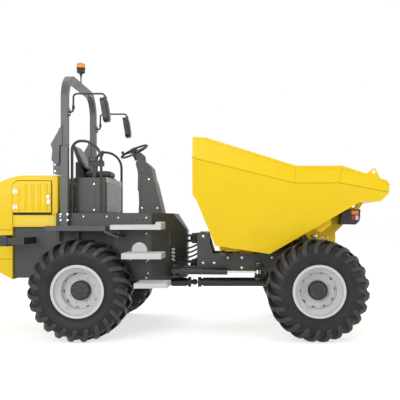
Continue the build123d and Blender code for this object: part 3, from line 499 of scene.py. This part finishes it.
for axle, axle_x in axle_places.items():
    for side_name, side in side_signs.items():
        wheel_body = f"wheel_{axle}_{side_name}"
        shell, lug_highlight = tyre_shell(axle_x, side)
        tyre = make_piece(f"lugged_tyre_{axle}_{side_name}", shell, tyre_rubber, wheel_body, lug_highlight)
        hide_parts(f"tyre_{axle}_{side_name}")
        make_piece(f"hub_relief_{axle}_{side_name}", cap_shell(axle_x, side),
                   black_paint, wheel_body)
        valve = tube_shell(
            smooth_path([(axle_x - 0.13, side * 1.145, 0.40), (axle_x - 0.125, side * 1.175, 0.405),
                         (axle_x - 0.11, side * 1.19, 0.418)], 9), 0.006, 10, (1, 0, 0))
        make_piece(f"valve_{axle}_{side_name}", valve, bright_steel, wheel_body)
        edge = lathe_shell(
            [(0.206, 0.286), (0.206, 0.301), (0.211, 0.306), (0.217, 0.303), (0.218, 0.296), (0.214, 0.288)],
            (axle_x, side * 0.995, axle_height), (0, side, 0), 96, hollow=True)
        make_piece(f"rim_edge_{axle}_{side_name}", edge, rim_paint, wheel_body)


# ---------------------------------------------------------------- seat
def apply_modifiers(piece):
    """Replaces a piece's mesh by what its modifiers make of it."""
    graph = bpy.context.evaluated_depsgraph_get()
    piece.data = bpy.data.meshes.new_from_object(piece.evaluated_get(graph))
    piece.modifiers.clear()


def points_of(mesh):
    """A mesh's points as an array of rows."""
    points = np.empty(3 * len(mesh.vertices))
    mesh.vertices.foreach_get("co", points)
    return points.reshape(-1, 3)


def inflate(piece, voxel, most):
    """Swells a pad like a filled cover: cloth under inside pressure, no point moved more than the most."""
    remesh = piece.modifiers.new("remesh", "REMESH")
    remesh.mode = "VOXEL"
    remesh.voxel_size = voxel
    apply_modifiers(piece)
    start = points_of(piece.data)
    cloth = piece.modifiers.new("cloth", "CLOTH").settings
    cloth.use_pressure = True
    cloth.uniform_pressure_force = 4.0
    cloth.effector_weights.gravity = 0.0
    for number in range(1, 21):
        bpy.context.scene.frame_set(number)
    apply_modifiers(piece)
    bpy.context.scene.frame_set(1)
    move = points_of(piece.data) - start
    length = np.linalg.norm(move, axis=1, keepdims=True)
    return start + move * np.minimum(1, most / np.maximum(length, 1e-9))


def pillow_shell(half_sizes, corner=0.32):
    """A closed rounded block: a sphere whose sines and cosines are raised to a power below one."""
    rise = np.linspace(-math.pi / 2, math.pi / 2, 26)[:, None]
    turn = np.linspace(0, 2 * math.pi, 72, endpoint=False)[None]
    waves = (np.cos(rise), np.cos(turn), np.sin(turn), np.sin(rise))
    ring, across, along, height = (np.sign(wave) * np.abs(wave) ** corner for wave in waves)
    grid = np.stack(np.broadcast_arrays(ring * across, ring * along, height), axis=-1)
    return ring_shell(grid * np.asarray(half_sizes))


def pressed(points, axis, lines, depth, width):
    """How deep sewn lines press in at each point: a bell curve about each line's place on an axis."""
    return depth * np.exp(-(((points[:, axis : axis + 1] - np.array(lines)) / width) ** 2)).sum(axis=1)


def build_pad(name, shell, node, shape, colours):
    """A seat pad: swollen, then shaped by a function of its points, with a second cover where the mask says."""
    pad = make_piece(name, shell, colours[0], "rear_chassis")
    pad.data.materials.append(colours[1])
    points = inflate(pad, 0.006, 0.014)
    points, second_cover = shape(points)
    pad.data.vertices.foreach_set("co", points.ravel())
    centres = np.array([second_cover[list(face.vertices)].mean() for face in pad.data.polygons]) > 0.5
    pad.data.polygons.foreach_set("material_index", centres.astype(np.int32))
    pad.data.shade_smooth()
    pad.data.update()
    finer = pad.modifiers.new("finer", "SUBSURF")
    finer.levels = finer.render_levels = 1
    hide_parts(node)


def shape_cushion(points):
    """The seat pad: sewn lines across and along it, a flat underside, and a light front edge."""
    top = np.clip(points[:, 2] / 0.03, 0, 1)
    points[:, 2] -= top * pressed(points, 1, (-0.105, 0.105), 0.009, 0.006)
    points[:, 2] -= top * pressed(points, 0, (-0.06, 0.05), 0.006, 0.006) * (np.abs(points[:, 1]) < 0.105)
    points = points + (-1.0695, 0, 1.998)
    points[:, 2] = np.clip(points[:, 2], 1.957, 2.040)
    return points, (points[:, 0] > -0.905).astype(float)


def shape_back(points):
    """The backrest: thinner and narrower towards its top, leaning back, with sewn lines and a light front."""
    rise = np.clip((points[:, 2] + 0.172) / 0.344, 0, 1)
    front = np.clip(points[:, 0] / 0.02, 0, 1)
    points[:, 0] -= front * pressed(points, 1, (-0.11, 0.11), 0.008, 0.006)
    points[:, 0] -= front * pressed(points, 2, (-0.05, 0.06), 0.005, 0.006) * (np.abs(points[:, 1]) < 0.11)
    light = (points[:, 0] > 0.018).astype(float) * (np.abs(points[:, 1]) < 0.165)
    points[:, 0] = points[:, 0] * (1 - 0.42 * rise) - 1.240 - 0.150 * rise
    points[:, 1] *= 1 - 0.16 * rise**2
    points[:, 2] += 2.2185
    return points, light


build_pad("seat_pad", pillow_shell((0.185, 0.184, 0.031)), "seat_cushion", shape_cushion,
          (seat_fabric, seat_light))
build_pad("seat_backrest", pillow_shell((0.040, 0.184, 0.162)), "seat_back", shape_back,
          (seat_fabric, seat_light))

# ---------------------------------------------------------------- driver's place
panel = plate_shell(rectangle((-0.485, 0.485), (1.505, 1.895), 0.02), "yz", -0.885, -0.8815)
make_piece("seat_front_panel", panel, punched_panel, "rear_chassis")
strip = plate_shell(rectangle((-0.500, 0.500), (1.872, 1.934), 0.012), "yz", -0.892, -0.878)
make_piece("seat_front_strip", strip, light_plastic, "rear_chassis")
make_piece(
    "seat_box_bolts",
    joined(
        bolt_shells([(-0.8815, y, z) for y in (-0.465, 0.465) for z in (1.53, 1.70, 1.85)], (1, 0, 0), 0.007),
        both_sides(bolt_shells(
            [(x, -0.520, z) for x in (-1.27, -1.034) for z in (1.53, 1.85)], (0, -1, 0), 0.007)),
    ),
    bright_steel, "rear_chassis",
)
bellows = lathe_shell(
    [(0.0, 0.034), (0.006, 0.036), (0.012, 0.028), (0.018, 0.033), (0.024, 0.025), (0.030, 0.030), (0.036, 0.020),
     (0.046, 0.014)], (-1.004, -0.295, 2.139), (0.19, 0, 1.0), 28)
knob = lathe_shell(
    [(0.0, 0.012), (0.010, 0.017), (0.045, 0.021), (0.062, 0.019), (0.070, 0.010)], (-0.987, -0.295, 2.218),
    (0.19, 0, 1.0), 28)
make_piece("joystick", joined(bellows, knob), black_plastic, "rear_chassis")
armrest = plate_shell(rectangle((-1.155, -0.955), (-0.335, -0.255), 0.025), "xy", 2.139, 2.156, 0.006)
make_piece("armrest_pad", armrest, black_plastic, "rear_chassis")

# a cover over the column's head, its switches and the gauge panel that faces the driver
gauges = plate_shell(rectangle((-0.15, 0.15), (1.78, 1.98), 0.03), "yz", -0.538, -0.552, 0.004)
make_piece("gauge_panel", gauges, black_plastic, "rear_chassis")
dials = joined(*(
    lathe_shell([(0, 0.034), (0.006, 0.034), (0.007, 0.029), (0, 0.028)], (-0.551, y, z), (-1, 0, 0), 36,
                hollow=True)
    for y, z in ((-0.085, 1.91), (0.0, 1.91), (0.085, 1.91))
))
make_piece("dial_rims", dials, bright_steel, "rear_chassis")
switches = copies(plate_shell(rectangle((-0.016, 0.016), (-0.024, 0.024), 0.005), "yz", 0, -0.008, 0.002),
                  [(-0.551, y, 1.825) for y in (-0.10, -0.05, 0.0, 0.05, 0.10)])
make_piece("switches", switches, light_plastic, "rear_chassis")
seams = joined(
    tube_shell([(-0.5435, y, 2.02) for y in np.linspace(-0.2, 0.2, 5)], 0.002, 8),
    both_sides(tube_shell(
        smooth_path([(-0.535, -0.2, 2.02), (-0.45, -0.2, 2.015), (-0.36, -0.2, 1.99)], 12), 0.002, 8)),
    both_sides(tube_shell(
        [(-0.505, -0.2, 1.52), (-0.505, -0.2, 1.75), (-0.49, -0.2, 2.0)], 0.002, 8, (1, 0, 0))),
)
make_piece("console_seams", seams, black_plastic, "rear_chassis")
make_piece(
    "console_bolts",
    both_sides(bolt_shells([(-0.49, -0.2, 1.56), (-0.29, -0.2, 1.56), (-0.40, -0.2, 1.93)], (0, -1, 0), 0.007)),
    bright_steel, "rear_chassis",
)
lever = joined(
    tube_shell(smooth_path([(-0.58, 0.05, 2.235), (-0.60, 0.11, 2.25), (-0.62, 0.17, 2.262)], 12), 0.006, 10),
    lathe_shell([(0, 0.008), (0.008, 0.014), (0.030, 0.014), (0.040, 0.006)],
                (-0.62, 0.165, 2.262), (-0.3, 1, 0.2), 20),
)
make_piece("direction_lever", lever, black_plastic, "rear_chassis")

# ---------------------------------------------------------------- rear body
for side_name, side in side_signs.items():
    door = f"side_door_{side_name}"
    face = side * 0.7155
    hinge_plates = joined(*(
        plate_shell(rectangle((-1.975, -1.918), (z - 0.027, z + 0.027), 0.010), "xz", face, face + side * 0.004)
        for z in (1.562, 1.750)
    ))
    make_piece(f"hinge_plates_{side_name}", hinge_plates, bright_steel, door)
    hinge_slots = joined(*(
        plate_shell(rectangle((-1.962, -1.930), (z - 0.005, z + 0.005), 0.004), "xz", face + side * 0.0035,
                    face + side * 0.0048, 0.0004)
        for z in (1.549, 1.575, 1.737, 1.763)
    ))
    make_piece(f"hinge_slots_{side_name}", hinge_slots, black_plastic, door)
    latch = joined(
        lathe_shell([(0, 0.022), (0.003, 0.022), (0.005, 0.019), (0.004, 0.012), (0.0045, 0.0)],
                    (-1.546, side * 0.720, 1.686), (0, side, 0), 36),
        plate_shell(rectangle((-1.566, -1.526), (1.596, 1.652), 0.012),
                    "xz", side * 0.7118, side * 0.716, 0.002),
    )
    make_piece(f"door_latch_{side_name}", latch, bright_steel, door)

tail_curve = np.stack([
    np.concatenate([np.linspace(-1.985, -2.315, 8), -2.315 - 0.160 * np.sin(np.linspace(0.1, 1.57, 12)),
                    np.full(10, -2.475)]),
    np.concatenate([np.full(8, -0.700), -0.540 - 0.160 * np.cos(np.linspace(0.1, 1.57, 12)),
                    np.linspace(-0.53, 0.0, 10)]),
], axis=1)
body_seams = both_sides(tube_shell(np.column_stack([tail_curve, np.full(len(tail_curve), 1.2855)]), 0.0026, 8))
make_piece("tail_seam", body_seams, black_plastic, "rear_chassis")
flank_seams = both_sides(joined(
    tube_shell([(x, -0.7, 0.931) for x in np.linspace(-2.28, -1.985, 6)], 0.0022, 8),
    tube_shell([(-1.50, -0.7, z) for z in np.linspace(1.485, 1.84, 6)], 0.0022, 8, (1, 0, 0)),
    tube_shell([(x, -0.7, 1.466) for x in np.linspace(-1.97, -1.46, 8)], 0.0022, 8),
    tube_shell([(x, -0.7, 1.488) for x in np.linspace(-1.46, -0.32, 12)], 0.0022, 8),
))
make_piece("flank_seams", flank_seams, black_plastic, "rear_chassis")
fixings = both_sides(joined(*(
    plate_shell(rectangle((-2.118, -2.094), (z - 0.012, z + 0.012), 0.003), "xz", -0.699, -0.704)
    for z in (0.871, 1.408)
)))
make_piece("ballast_fixings", fixings, yellow_paint, "rear_chassis")
name_strip = both_sides(plate_shell(rectangle((-1.945, -1.475), (1.345, 1.445), 0.012), "xz", -0.6995, -0.7015))
make_piece("blank_name_panel", name_strip, pale_panel, "rear_chassis")

for name, across, upright, corner, material in (
    ("lamp_lens_red", (-1.088, -1.005), (1.112, 1.215), 0.012, red_lens),
    ("lamp_lens_amber", (-0.998, -0.912), (1.165, 1.215), 0.010, orange_lens),
    ("lamp_lens_clear", (-0.998, -0.912), (1.112, 1.158), 0.010, clear_lens),
):
    lens = both_sides(plate_shell(rectangle(across, upright, corner), "yz", -2.008, -2.018, 0.004))
    make_piece(name, lens, material, "rear_chassis")
grille_bars = copies(
    lathe_shell([(-0.36, 0.0), (-0.358, 0.010), (0.358, 0.010), (0.36, 0.0)], (-2.474, 0, 0), (0, 1, 0), 12),
    [(0, 0, z) for z in np.linspace(1.33, 1.46, 5)])
make_piece("tail_grille", grille_bars, black_plastic, "rear_chassis")
tow = joined(
    plate_shell(rectangle((-0.14, 0.14), (0.97, 1.17), 0.02), "yz", -2.473, -2.485, 0.003),
    lathe_shell([(-0.03, 0.018), (0.0, 0.018), (0.0, 0.028), (0.006, 0.028)], (-2.484, 0, 1.07), (-1, 0, 0), 24),
)
make_piece("tow_plate", tow, black_paint, "rear_chassis")

box_bolts = both_sides(joined(
    bolt_shells([(x, -0.705, 1.445) for x in (-1.40, -1.12, -0.84)], (0, -1, 0), 0.008),
    bolt_shells([(x, -0.700, z) for x in (-0.70, -0.36) for z in (1.43, 1.24, 0.90, 0.70)], (0, -1, 0), 0.008),
    bolt_shells([(x, -0.705, z) for x in (-0.55, -0.34) for z in (0.76, 0.92)], (0, -1, 0), 0.006),
))
make_piece("flank_bolts", box_bolts, bright_steel, "rear_chassis")
dark_holes = both_sides(copies(
    lathe_shell([(-0.001, 0.011), (0.0007, 0.011)], (0, -0.700, 0), (0, -1, 0), 20),
    [(x, 0, z) for x, z in (
        (-0.61, 1.40), (-0.54, 1.40), (-0.47, 1.40), (-0.40, 1.40), (-0.62, 1.16), (-0.36, 1.08))]))
make_piece("flank_holes", dark_holes, black_plastic, "rear_chassis")
post_bolts = both_sides(joined(
    bolt_shells([(-1.375, -0.787, z) for z in (1.40, 1.47)], (0, -1, 0), 0.010),
    bolt_shells([(-1.292, -0.787, z) for z in (1.40, 1.47)], (0, -1, 0), 0.010),
    bolt_shells([(-1.450, -0.762, z) for z in (1.99, 2.07, 2.15)], (0, -1, 0), 0.009),
))
make_piece("post_bolts", post_bolts, bright_steel, "rear_chassis")

# treads: rows of teeth stand along each step, each row a band whose upper edge rises and falls
step_tops = [(-0.711, -0.192, 1.342), (-0.192, -0.130, 1.375), (-0.583, -0.127, 1.018), (-0.440, -0.060, 0.674)]
tooth_half = 0.0022
for side_name, side in side_signs.items():
    rows = []
    for rear, front, top in step_tops:
        along = np.linspace(rear + 0.004, front - 0.004, int((front - rear) / 0.0075))
        tooth = top + 0.0015 + 0.0075 * (np.arange(len(along)) % 2)
        foot = np.full_like(along, top - 0.004)
        for y in (0.722, 0.808, 0.893, 0.979, 1.064, 1.147):
            band = np.stack([
                np.stack([along, np.full_like(along, side * (y + offset)), level], axis=1)
                for offset, level in (
                    (-tooth_half, foot), (tooth_half, foot), (tooth_half, tooth), (-tooth_half, tooth))
            ], axis=1)
            rows.append(ring_shell(band))
    make_piece(f"tread_teeth_{side_name}", joined(*rows), step_paint, "rear_chassis")

# hoses over the articulation, from the nose's right flank to the knuckle; the hoses hang on no body, their collars
# on the rear chassis and their fittings on the knuckle
hose_levels = [(1.045, 1.135), (1.010, 1.080), (0.972, 1.025), (0.935, 0.970)]
hose_plan = np.array([(-0.100, -0.412), (-0.050, -0.408), (0.030, -0.305), (0.100, -0.238), (0.170, -0.190),
                      (0.228, -0.152), (0.249, -0.108)])
for number, (start_z, end_z) in enumerate(hose_levels):
    share = np.linspace(0, 1, len(hose_plan))
    height = start_z + (end_z - start_z) * share - (0.05 + 0.012 * number) * np.sin(math.pi * share)
    line = smooth_path(np.column_stack([hose_plan, height]), 60)
    hose = make_piece(f"hose_{number + 1}", tube_shell(line, 0.011, 14), hose_rubber, None)
    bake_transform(hose)
    collar = tube_shell(line[4:11], [0.0125, 0.0145, 0.0145, 0.0145, 0.0145, 0.0145, 0.0125], 16)
    make_piece(f"hose_collar_{number + 1}", collar, light_plastic, "rear_chassis")
    fitting = tube_shell(line[-5:], 0.0135, 6)
    make_piece(f"hose_fitting_{number + 1}", fitting, bright_steel, "knuckle")

# ---------------------------------------------------------------- front frame and skip
frame_bolts = both_sides(bolt_shells(
    [(x, -0.370, z) for x, z in (
        (0.31, 1.20), (0.31, 0.86), (0.45, 0.86), (0.62, 0.93), (0.80, 0.93), (0.80, 0.80), (1.18, 0.93),
        (1.36, 0.93))], (0, -1, 0), 0.011))
make_piece("front_frame_bolts", frame_bolts, bright_steel, "front_chassis")
pins = joined(
    lathe_shell([(0, 0.026), (0.006, 0.026), (0.009, 0.021)], (0.996, -0.520, 0.864), (0, 0, 1), 28),
    both_sides(lathe_shell(
        [(-0.004, 0.028), (0.004, 0.028), (0.007, 0.022)], (1.705, -0.500, 1.203), (0, -1, 0), 28)),
)
make_piece("pin_heads", pins, bright_steel, "front_chassis")
buffers = both_sides(lathe_shell(
    [(0, 0.024), (0.014, 0.026), (0.020, 0.024), (0.022, 0.012)], (0.5615, -0.50, 1.003), (0, 0, 1), 28))
make_piece("rest_buffers", buffers, hose_rubber, "front_chassis")
trunnion_ring = lathe_shell(
    [(0.3995, 0.118), (0.405, 0.116), (0.406, 0.104), (0.401, 0.0)], (0, 0, 0.995), (1, 0, 0), 48)
make_piece("trunnion_cover", trunnion_ring, black_paint, "knuckle")

rim_line = [(0.235, 2.354), (0.387, 2.344), (1.410, 2.024), (1.937, 2.024), (2.440, 1.860), (2.472, 1.824)]


def edge_band(line, y, height, thickness):
    """A flat band below a line of (x, z) points, from y outwards by its thickness, with eased edges."""
    line = np.asarray(line, float)
    ring = np.array([(0.0, -height), (thickness, -height + 0.003), (thickness, -0.003), (0.0, 0.0)])
    grid = np.empty((len(line), len(ring), 3))
    grid[:, :, 0] = line[:, :1]
    grid[:, :, 1] = y - ring[:, 0]
    grid[:, :, 2] = line[:, 1:] + ring[:, 1]
    return ring_shell(grid)


skip_lips = both_sides(edge_band(rim_line, -1.1695, 0.030, 0.011))
make_piece("skip_rim_lips", skip_lips, yellow_paint, "skip")
wall_y = -1.1702
fold = [(0.222, wall_y, 2.122), (1.394, wall_y, 1.832), (1.905, wall_y, 1.834), (2.452, wall_y, 1.732)]
fold_bead = both_sides(tube_shell(fold, 0.0050, 10))
make_piece("skip_fold_bead", fold_bead, yellow_paint, "skip")
# a darker yellow line just under the fold bead: painted shadow under the band's edge
fold_shade = both_sides(tube_shell(np.array(fold) + (0, 0.0022, -0.0075), 0.0034, 8))
make_piece("skip_fold_painted_shadow", fold_shade, yellow_seam_and_shadow, "skip")
seam_lines = both_sides(joined(
    tube_shell([(1.394, wall_y, 1.832), (1.402, wall_y, 1.93), (1.410, wall_y, 2.0)], 0.0020, 8, (1, 0, 0)),
    tube_shell([(1.905, wall_y, 1.834), (1.921, wall_y, 1.93), (1.937, wall_y, 2.0)], 0.0020, 8, (1, 0, 0)),
))
make_piece("skip_weld_lines", seam_lines, yellow_seam_and_shadow, "skip")

for name, along, upright, material in (
    ("headlamp_marker_amber", (2.120, 2.205), (1.470, 1.518), orange_lens),
    ("headlamp_marker_red", (2.120, 2.160), (1.405, 1.460), red_lens),
    ("headlamp_marker_clear", (2.168, 2.205), (1.405, 1.460), clear_lens),
):
    marker = both_sides(plate_shell(rectangle(along, upright, 0.010), "xz", -0.719, -0.7255, 0.002))
    make_piece(name, marker, material, "skip")
lens = both_sides(joined(
    lathe_shell([(0, 0.062), (0.006, 0.062), (0.008, 0.058), (0.013, 0.040), (0.015, 0.0)],
                (2.2225, -0.585, 1.458), (1, 0, -0.085), 48),
    plate_shell(rectangle((-0.710, -0.662), (1.415, 1.505), 0.012), "yz", 2.222, 2.2315, 0.003),
))
make_piece("headlamp_lens", lens, clear_lens, "skip")
lamp_frame = both_sides(lathe_shell(
    [(0, 0.063), (0.010, 0.063), (0.011, 0.072), (0, 0.074)],
    (2.2225, -0.585, 1.458), (1, 0, -0.085), 48, hollow=True))
make_piece("headlamp_bezel", lamp_frame, light_plastic, "skip")
cradle_bolts = both_sides(bolt_shells(
    [(x, -0.465, z) for x, z in ((2.05, 1.50), (2.12, 1.56), (1.80, 1.18), (1.86, 1.18))], (0, -1, 0), 0.010))
make_piece("cradle_bolts", cradle_bolts, bright_steel, "skip")

# ---------------------------------------------------------------- mirrors and beacon
glass_out = unit(np.array([-0.98769, 0.0, -0.15643]))
glass_up = np.array([-0.15643, 0.0, 0.98769])
glass_side = np.array([0.0, 1.0, 0.0])
oval = rectangle((-0.145, 0.145), (-0.090, 0.090), 0.055)
for side_name, side in side_signs.items():
    centre = np.array([-0.880, side * 0.747, 2.725])
    levels = np.array([-0.0545, -0.060, -0.068, -0.074, -0.077])[:, None, None]
    widths = np.array([1.0, 0.97, 0.86, 0.66, 0.38])[:, None, None]
    outline = oval[None] * widths
    shell_grid = centre + outline[..., :1] * glass_up + outline[..., 1:] * glass_side + levels * glass_out
    make_piece(f"mirror_shell_{side_name}", ring_shell(shell_grid), black_plastic, "roll_bar")
    face = np.array([0.0, 0.0015, 0.002])[:, None, None]
    inner = oval[None] * np.array([0.93, 0.93, 0.92])[:, None, None]
    face_grid = centre + inner[..., :1] * glass_up + inner[..., 1:] * glass_side + face * glass_out
    make_piece(f"mirror_glass_{side_name}", ring_shell(face_grid), mirror_glass, "roll_bar")
    bar_y = side * 0.747
    clamp = joined(
        lathe_shell([(-0.028, 0.018), (-0.024, 0.021), (0.024, 0.021), (0.028, 0.018)],
                    (-0.850, bar_y, 2.862), (0, 0, 1), 20),
        lathe_shell([(-0.02, 0.017), (0.02, 0.017)], (-1.232, bar_y, 2.76), (0, 0, 1), 20),
    )
    make_piece(f"mirror_clamp_{side_name}", clamp, black_plastic, "roll_bar")
    places = [(-1.277, bar_y + step, z) for step in (-0.03, 0.03) for z in (2.68, 2.73)]
    hardware = bolt_shells(places, (1, 0, 0), 0.007)
    make_piece(f"mirror_bolts_{side_name}", hardware, bright_steel, "roll_bar")

beacon_x, beacon_low = -1.326, 3.409
dome_turn = np.linspace(0, 2 * math.pi, 192, endpoint=False)
dome_keys = smooth_path(
    [(0.0, 0.0552), (0.010, 0.0555), (0.038, 0.0548), (0.056, 0.050), (0.066, 0.036), (0.0695, 0.016),
     (0.070, 0.002)], 30)
fluted = dome_keys[:, 1:] * (1 + 0.018 * np.cos(24 * dome_turn) * np.clip((0.062 - dome_keys[:, :1]) / 0.01, 0, 1))
dome_grid = np.stack(
    [beacon_x + fluted * np.cos(dome_turn), fluted * np.sin(dome_turn),
     beacon_low + np.broadcast_to(dome_keys[:, :1], fluted.shape)], axis=-1)
dome = make_piece("beacon_lens", ring_shell(dome_grid), orange_lens, "roll_bar")
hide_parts("beacon_dome")
collar = lathe_shell(
    [(0.0, 0.0525), (0.008, 0.056), (0.014, 0.0525), (0.040, 0.0525), (0.046, 0.057), (0.062, 0.057)],
    (beacon_x, 0, 3.347), (0, 0, 1), 64)
make_piece("beacon_collar", collar, black_plastic, "roll_bar")
neck = joined(
    lathe_shell([(0.0, 0.013), (0.03, 0.013), (0.034, 0.022), (0.050, 0.024), (0.056, 0.0525)],
                (beacon_x, 0, 3.290), (0, 0, 1), 32),
    lathe_shell([(0.0, 0.030), (0.006, 0.030), (0.010, 0.016), (0.022, 0.014)],
                (beacon_x, 0, 3.190), (0, 0, 1), 32),
)
make_piece("beacon_neck", neck, black_plastic, "roll_bar")
wheel_boss = lathe_shell(
    [(0.0, 0.046), (0.012, 0.044), (0.020, 0.034), (0.022, 0.010)],
    (-0.6315, 0, 2.3316), (-0.43837, 0, 0.89879), 40)
make_piece("steering_wheel_boss", wheel_boss, black_plastic, "steering_wheel")
disc_ring = lathe_shell(
    [(0.0, 0.0935), (0.0055, 0.0935), (0.0062, 0.091), (0.0055, 0.0885), (0.0, 0.0885)], (-0.443, -0.700, 1.037),
    (0, -1, 0), 96, hollow=True)
make_piece("speed_disc_rim", disc_ring, bright_steel, "rear_chassis")


# ---------------------------------------------------------------- studio
def seen_directly(tree):
    """One for rays from the camera, a mirror or glass, and nought for the light that falls on the machine."""
    path = tree.nodes.new("ShaderNodeLightPath")
    nearly = calculate(tree, "MAXIMUM", path.outputs["Is Camera Ray"], path.outputs["Is Transmission Ray"])
    return calculate(tree, "MAXIMUM", nearly, path.outputs["Is Glossy Ray"])


def build_floor():
    """A large white floor that keeps the machine's shadow."""
    mesh = bpy.data.meshes.new("floor")
    corners = [(-400, -60, 0), (400, -60, 0), (400, 900, 0), (-400, 900, 0)]
    mesh.from_pydata(corners, [], [(0, 1, 2, 3)])
    floor = bpy.data.objects.new("floor", mesh)
    bpy.context.collection.objects.link(floor)
    material = bpy.data.materials.new("floor_white")
    material.use_nodes = True
    tree = material.node_tree
    shader = tree.nodes["Principled BSDF"]
    shader.inputs["Base Color"].default_value = (0.80, 0.80, 0.80, 1.0)
    shader.inputs["Roughness"].default_value = 0.9
    shader.inputs["Specular IOR Level"].default_value = 0.0
    shader.inputs["Emission Color"].default_value = (1.0, 1.0, 1.0, 1.0)
    tree.links.new(calculate(tree, "MULTIPLY", seen_directly(tree), 0.66), shader.inputs["Emission Strength"])
    floor.data.materials.append(material)


def build_world():
    """An even pale surround that lights the machine, plain white where it is seen."""
    world = bpy.data.worlds.new("studio")
    bpy.context.scene.world = world
    world.use_nodes = True
    tree = world.node_tree
    strength = spread(tree, seen_directly(tree), 0.0, 1.0, 0.42, 1.0)
    tree.nodes["Background"].inputs["Color"].default_value = (1.0, 1.0, 1.0, 1.0)
    tree.links.new(strength, tree.nodes["Background"].inputs["Strength"])


def build_lamp(name, place, size, power, target=(0.0, 0.0, 1.2)):
    """A square soft lamp aimed at the machine."""
    data = bpy.data.lights.new(name, "AREA")
    data.size = size
    data.energy = power
    lamp = bpy.data.objects.new(name, data)
    bpy.context.collection.objects.link(lamp)
    aim = np.array(target) - np.array(place)
    lamp.location = place
    lamp.rotation_euler = (
        math.atan2(math.hypot(aim[0], aim[1]), -aim[2]), 0.0, math.atan2(aim[1], aim[0]) - math.pi / 2
    )


def build_camera():
    """The camera stands level on the machine's right side, a little ahead of the middle."""
    data = bpy.data.cameras.new("camera")
    data.sensor_width = 36.0
    data.lens = 57.8
    data.shift_x = -0.1
    data.shift_y = 0.05
    camera = bpy.data.objects.new("camera", data)
    bpy.context.collection.objects.link(camera)
    camera.location = (0.774, -8.48, 1.404)
    camera.rotation_euler = (math.pi / 2, 0.0, 0.0)
    bpy.context.scene.camera = camera


build_floor()
build_world()
build_lamp("key_lamp", (-3.0, -10.0, 4.2), 5.0, 440.0)
build_lamp("top_lamp", (1.0, 1.0, 9.0), 9.0, 380.0)
build_lamp("fill_lamp", (8.0, -7.0, 2.6), 5.0, 160.0)
build_camera()
bpy.context.scene.view_settings.view_transform = "Standard"
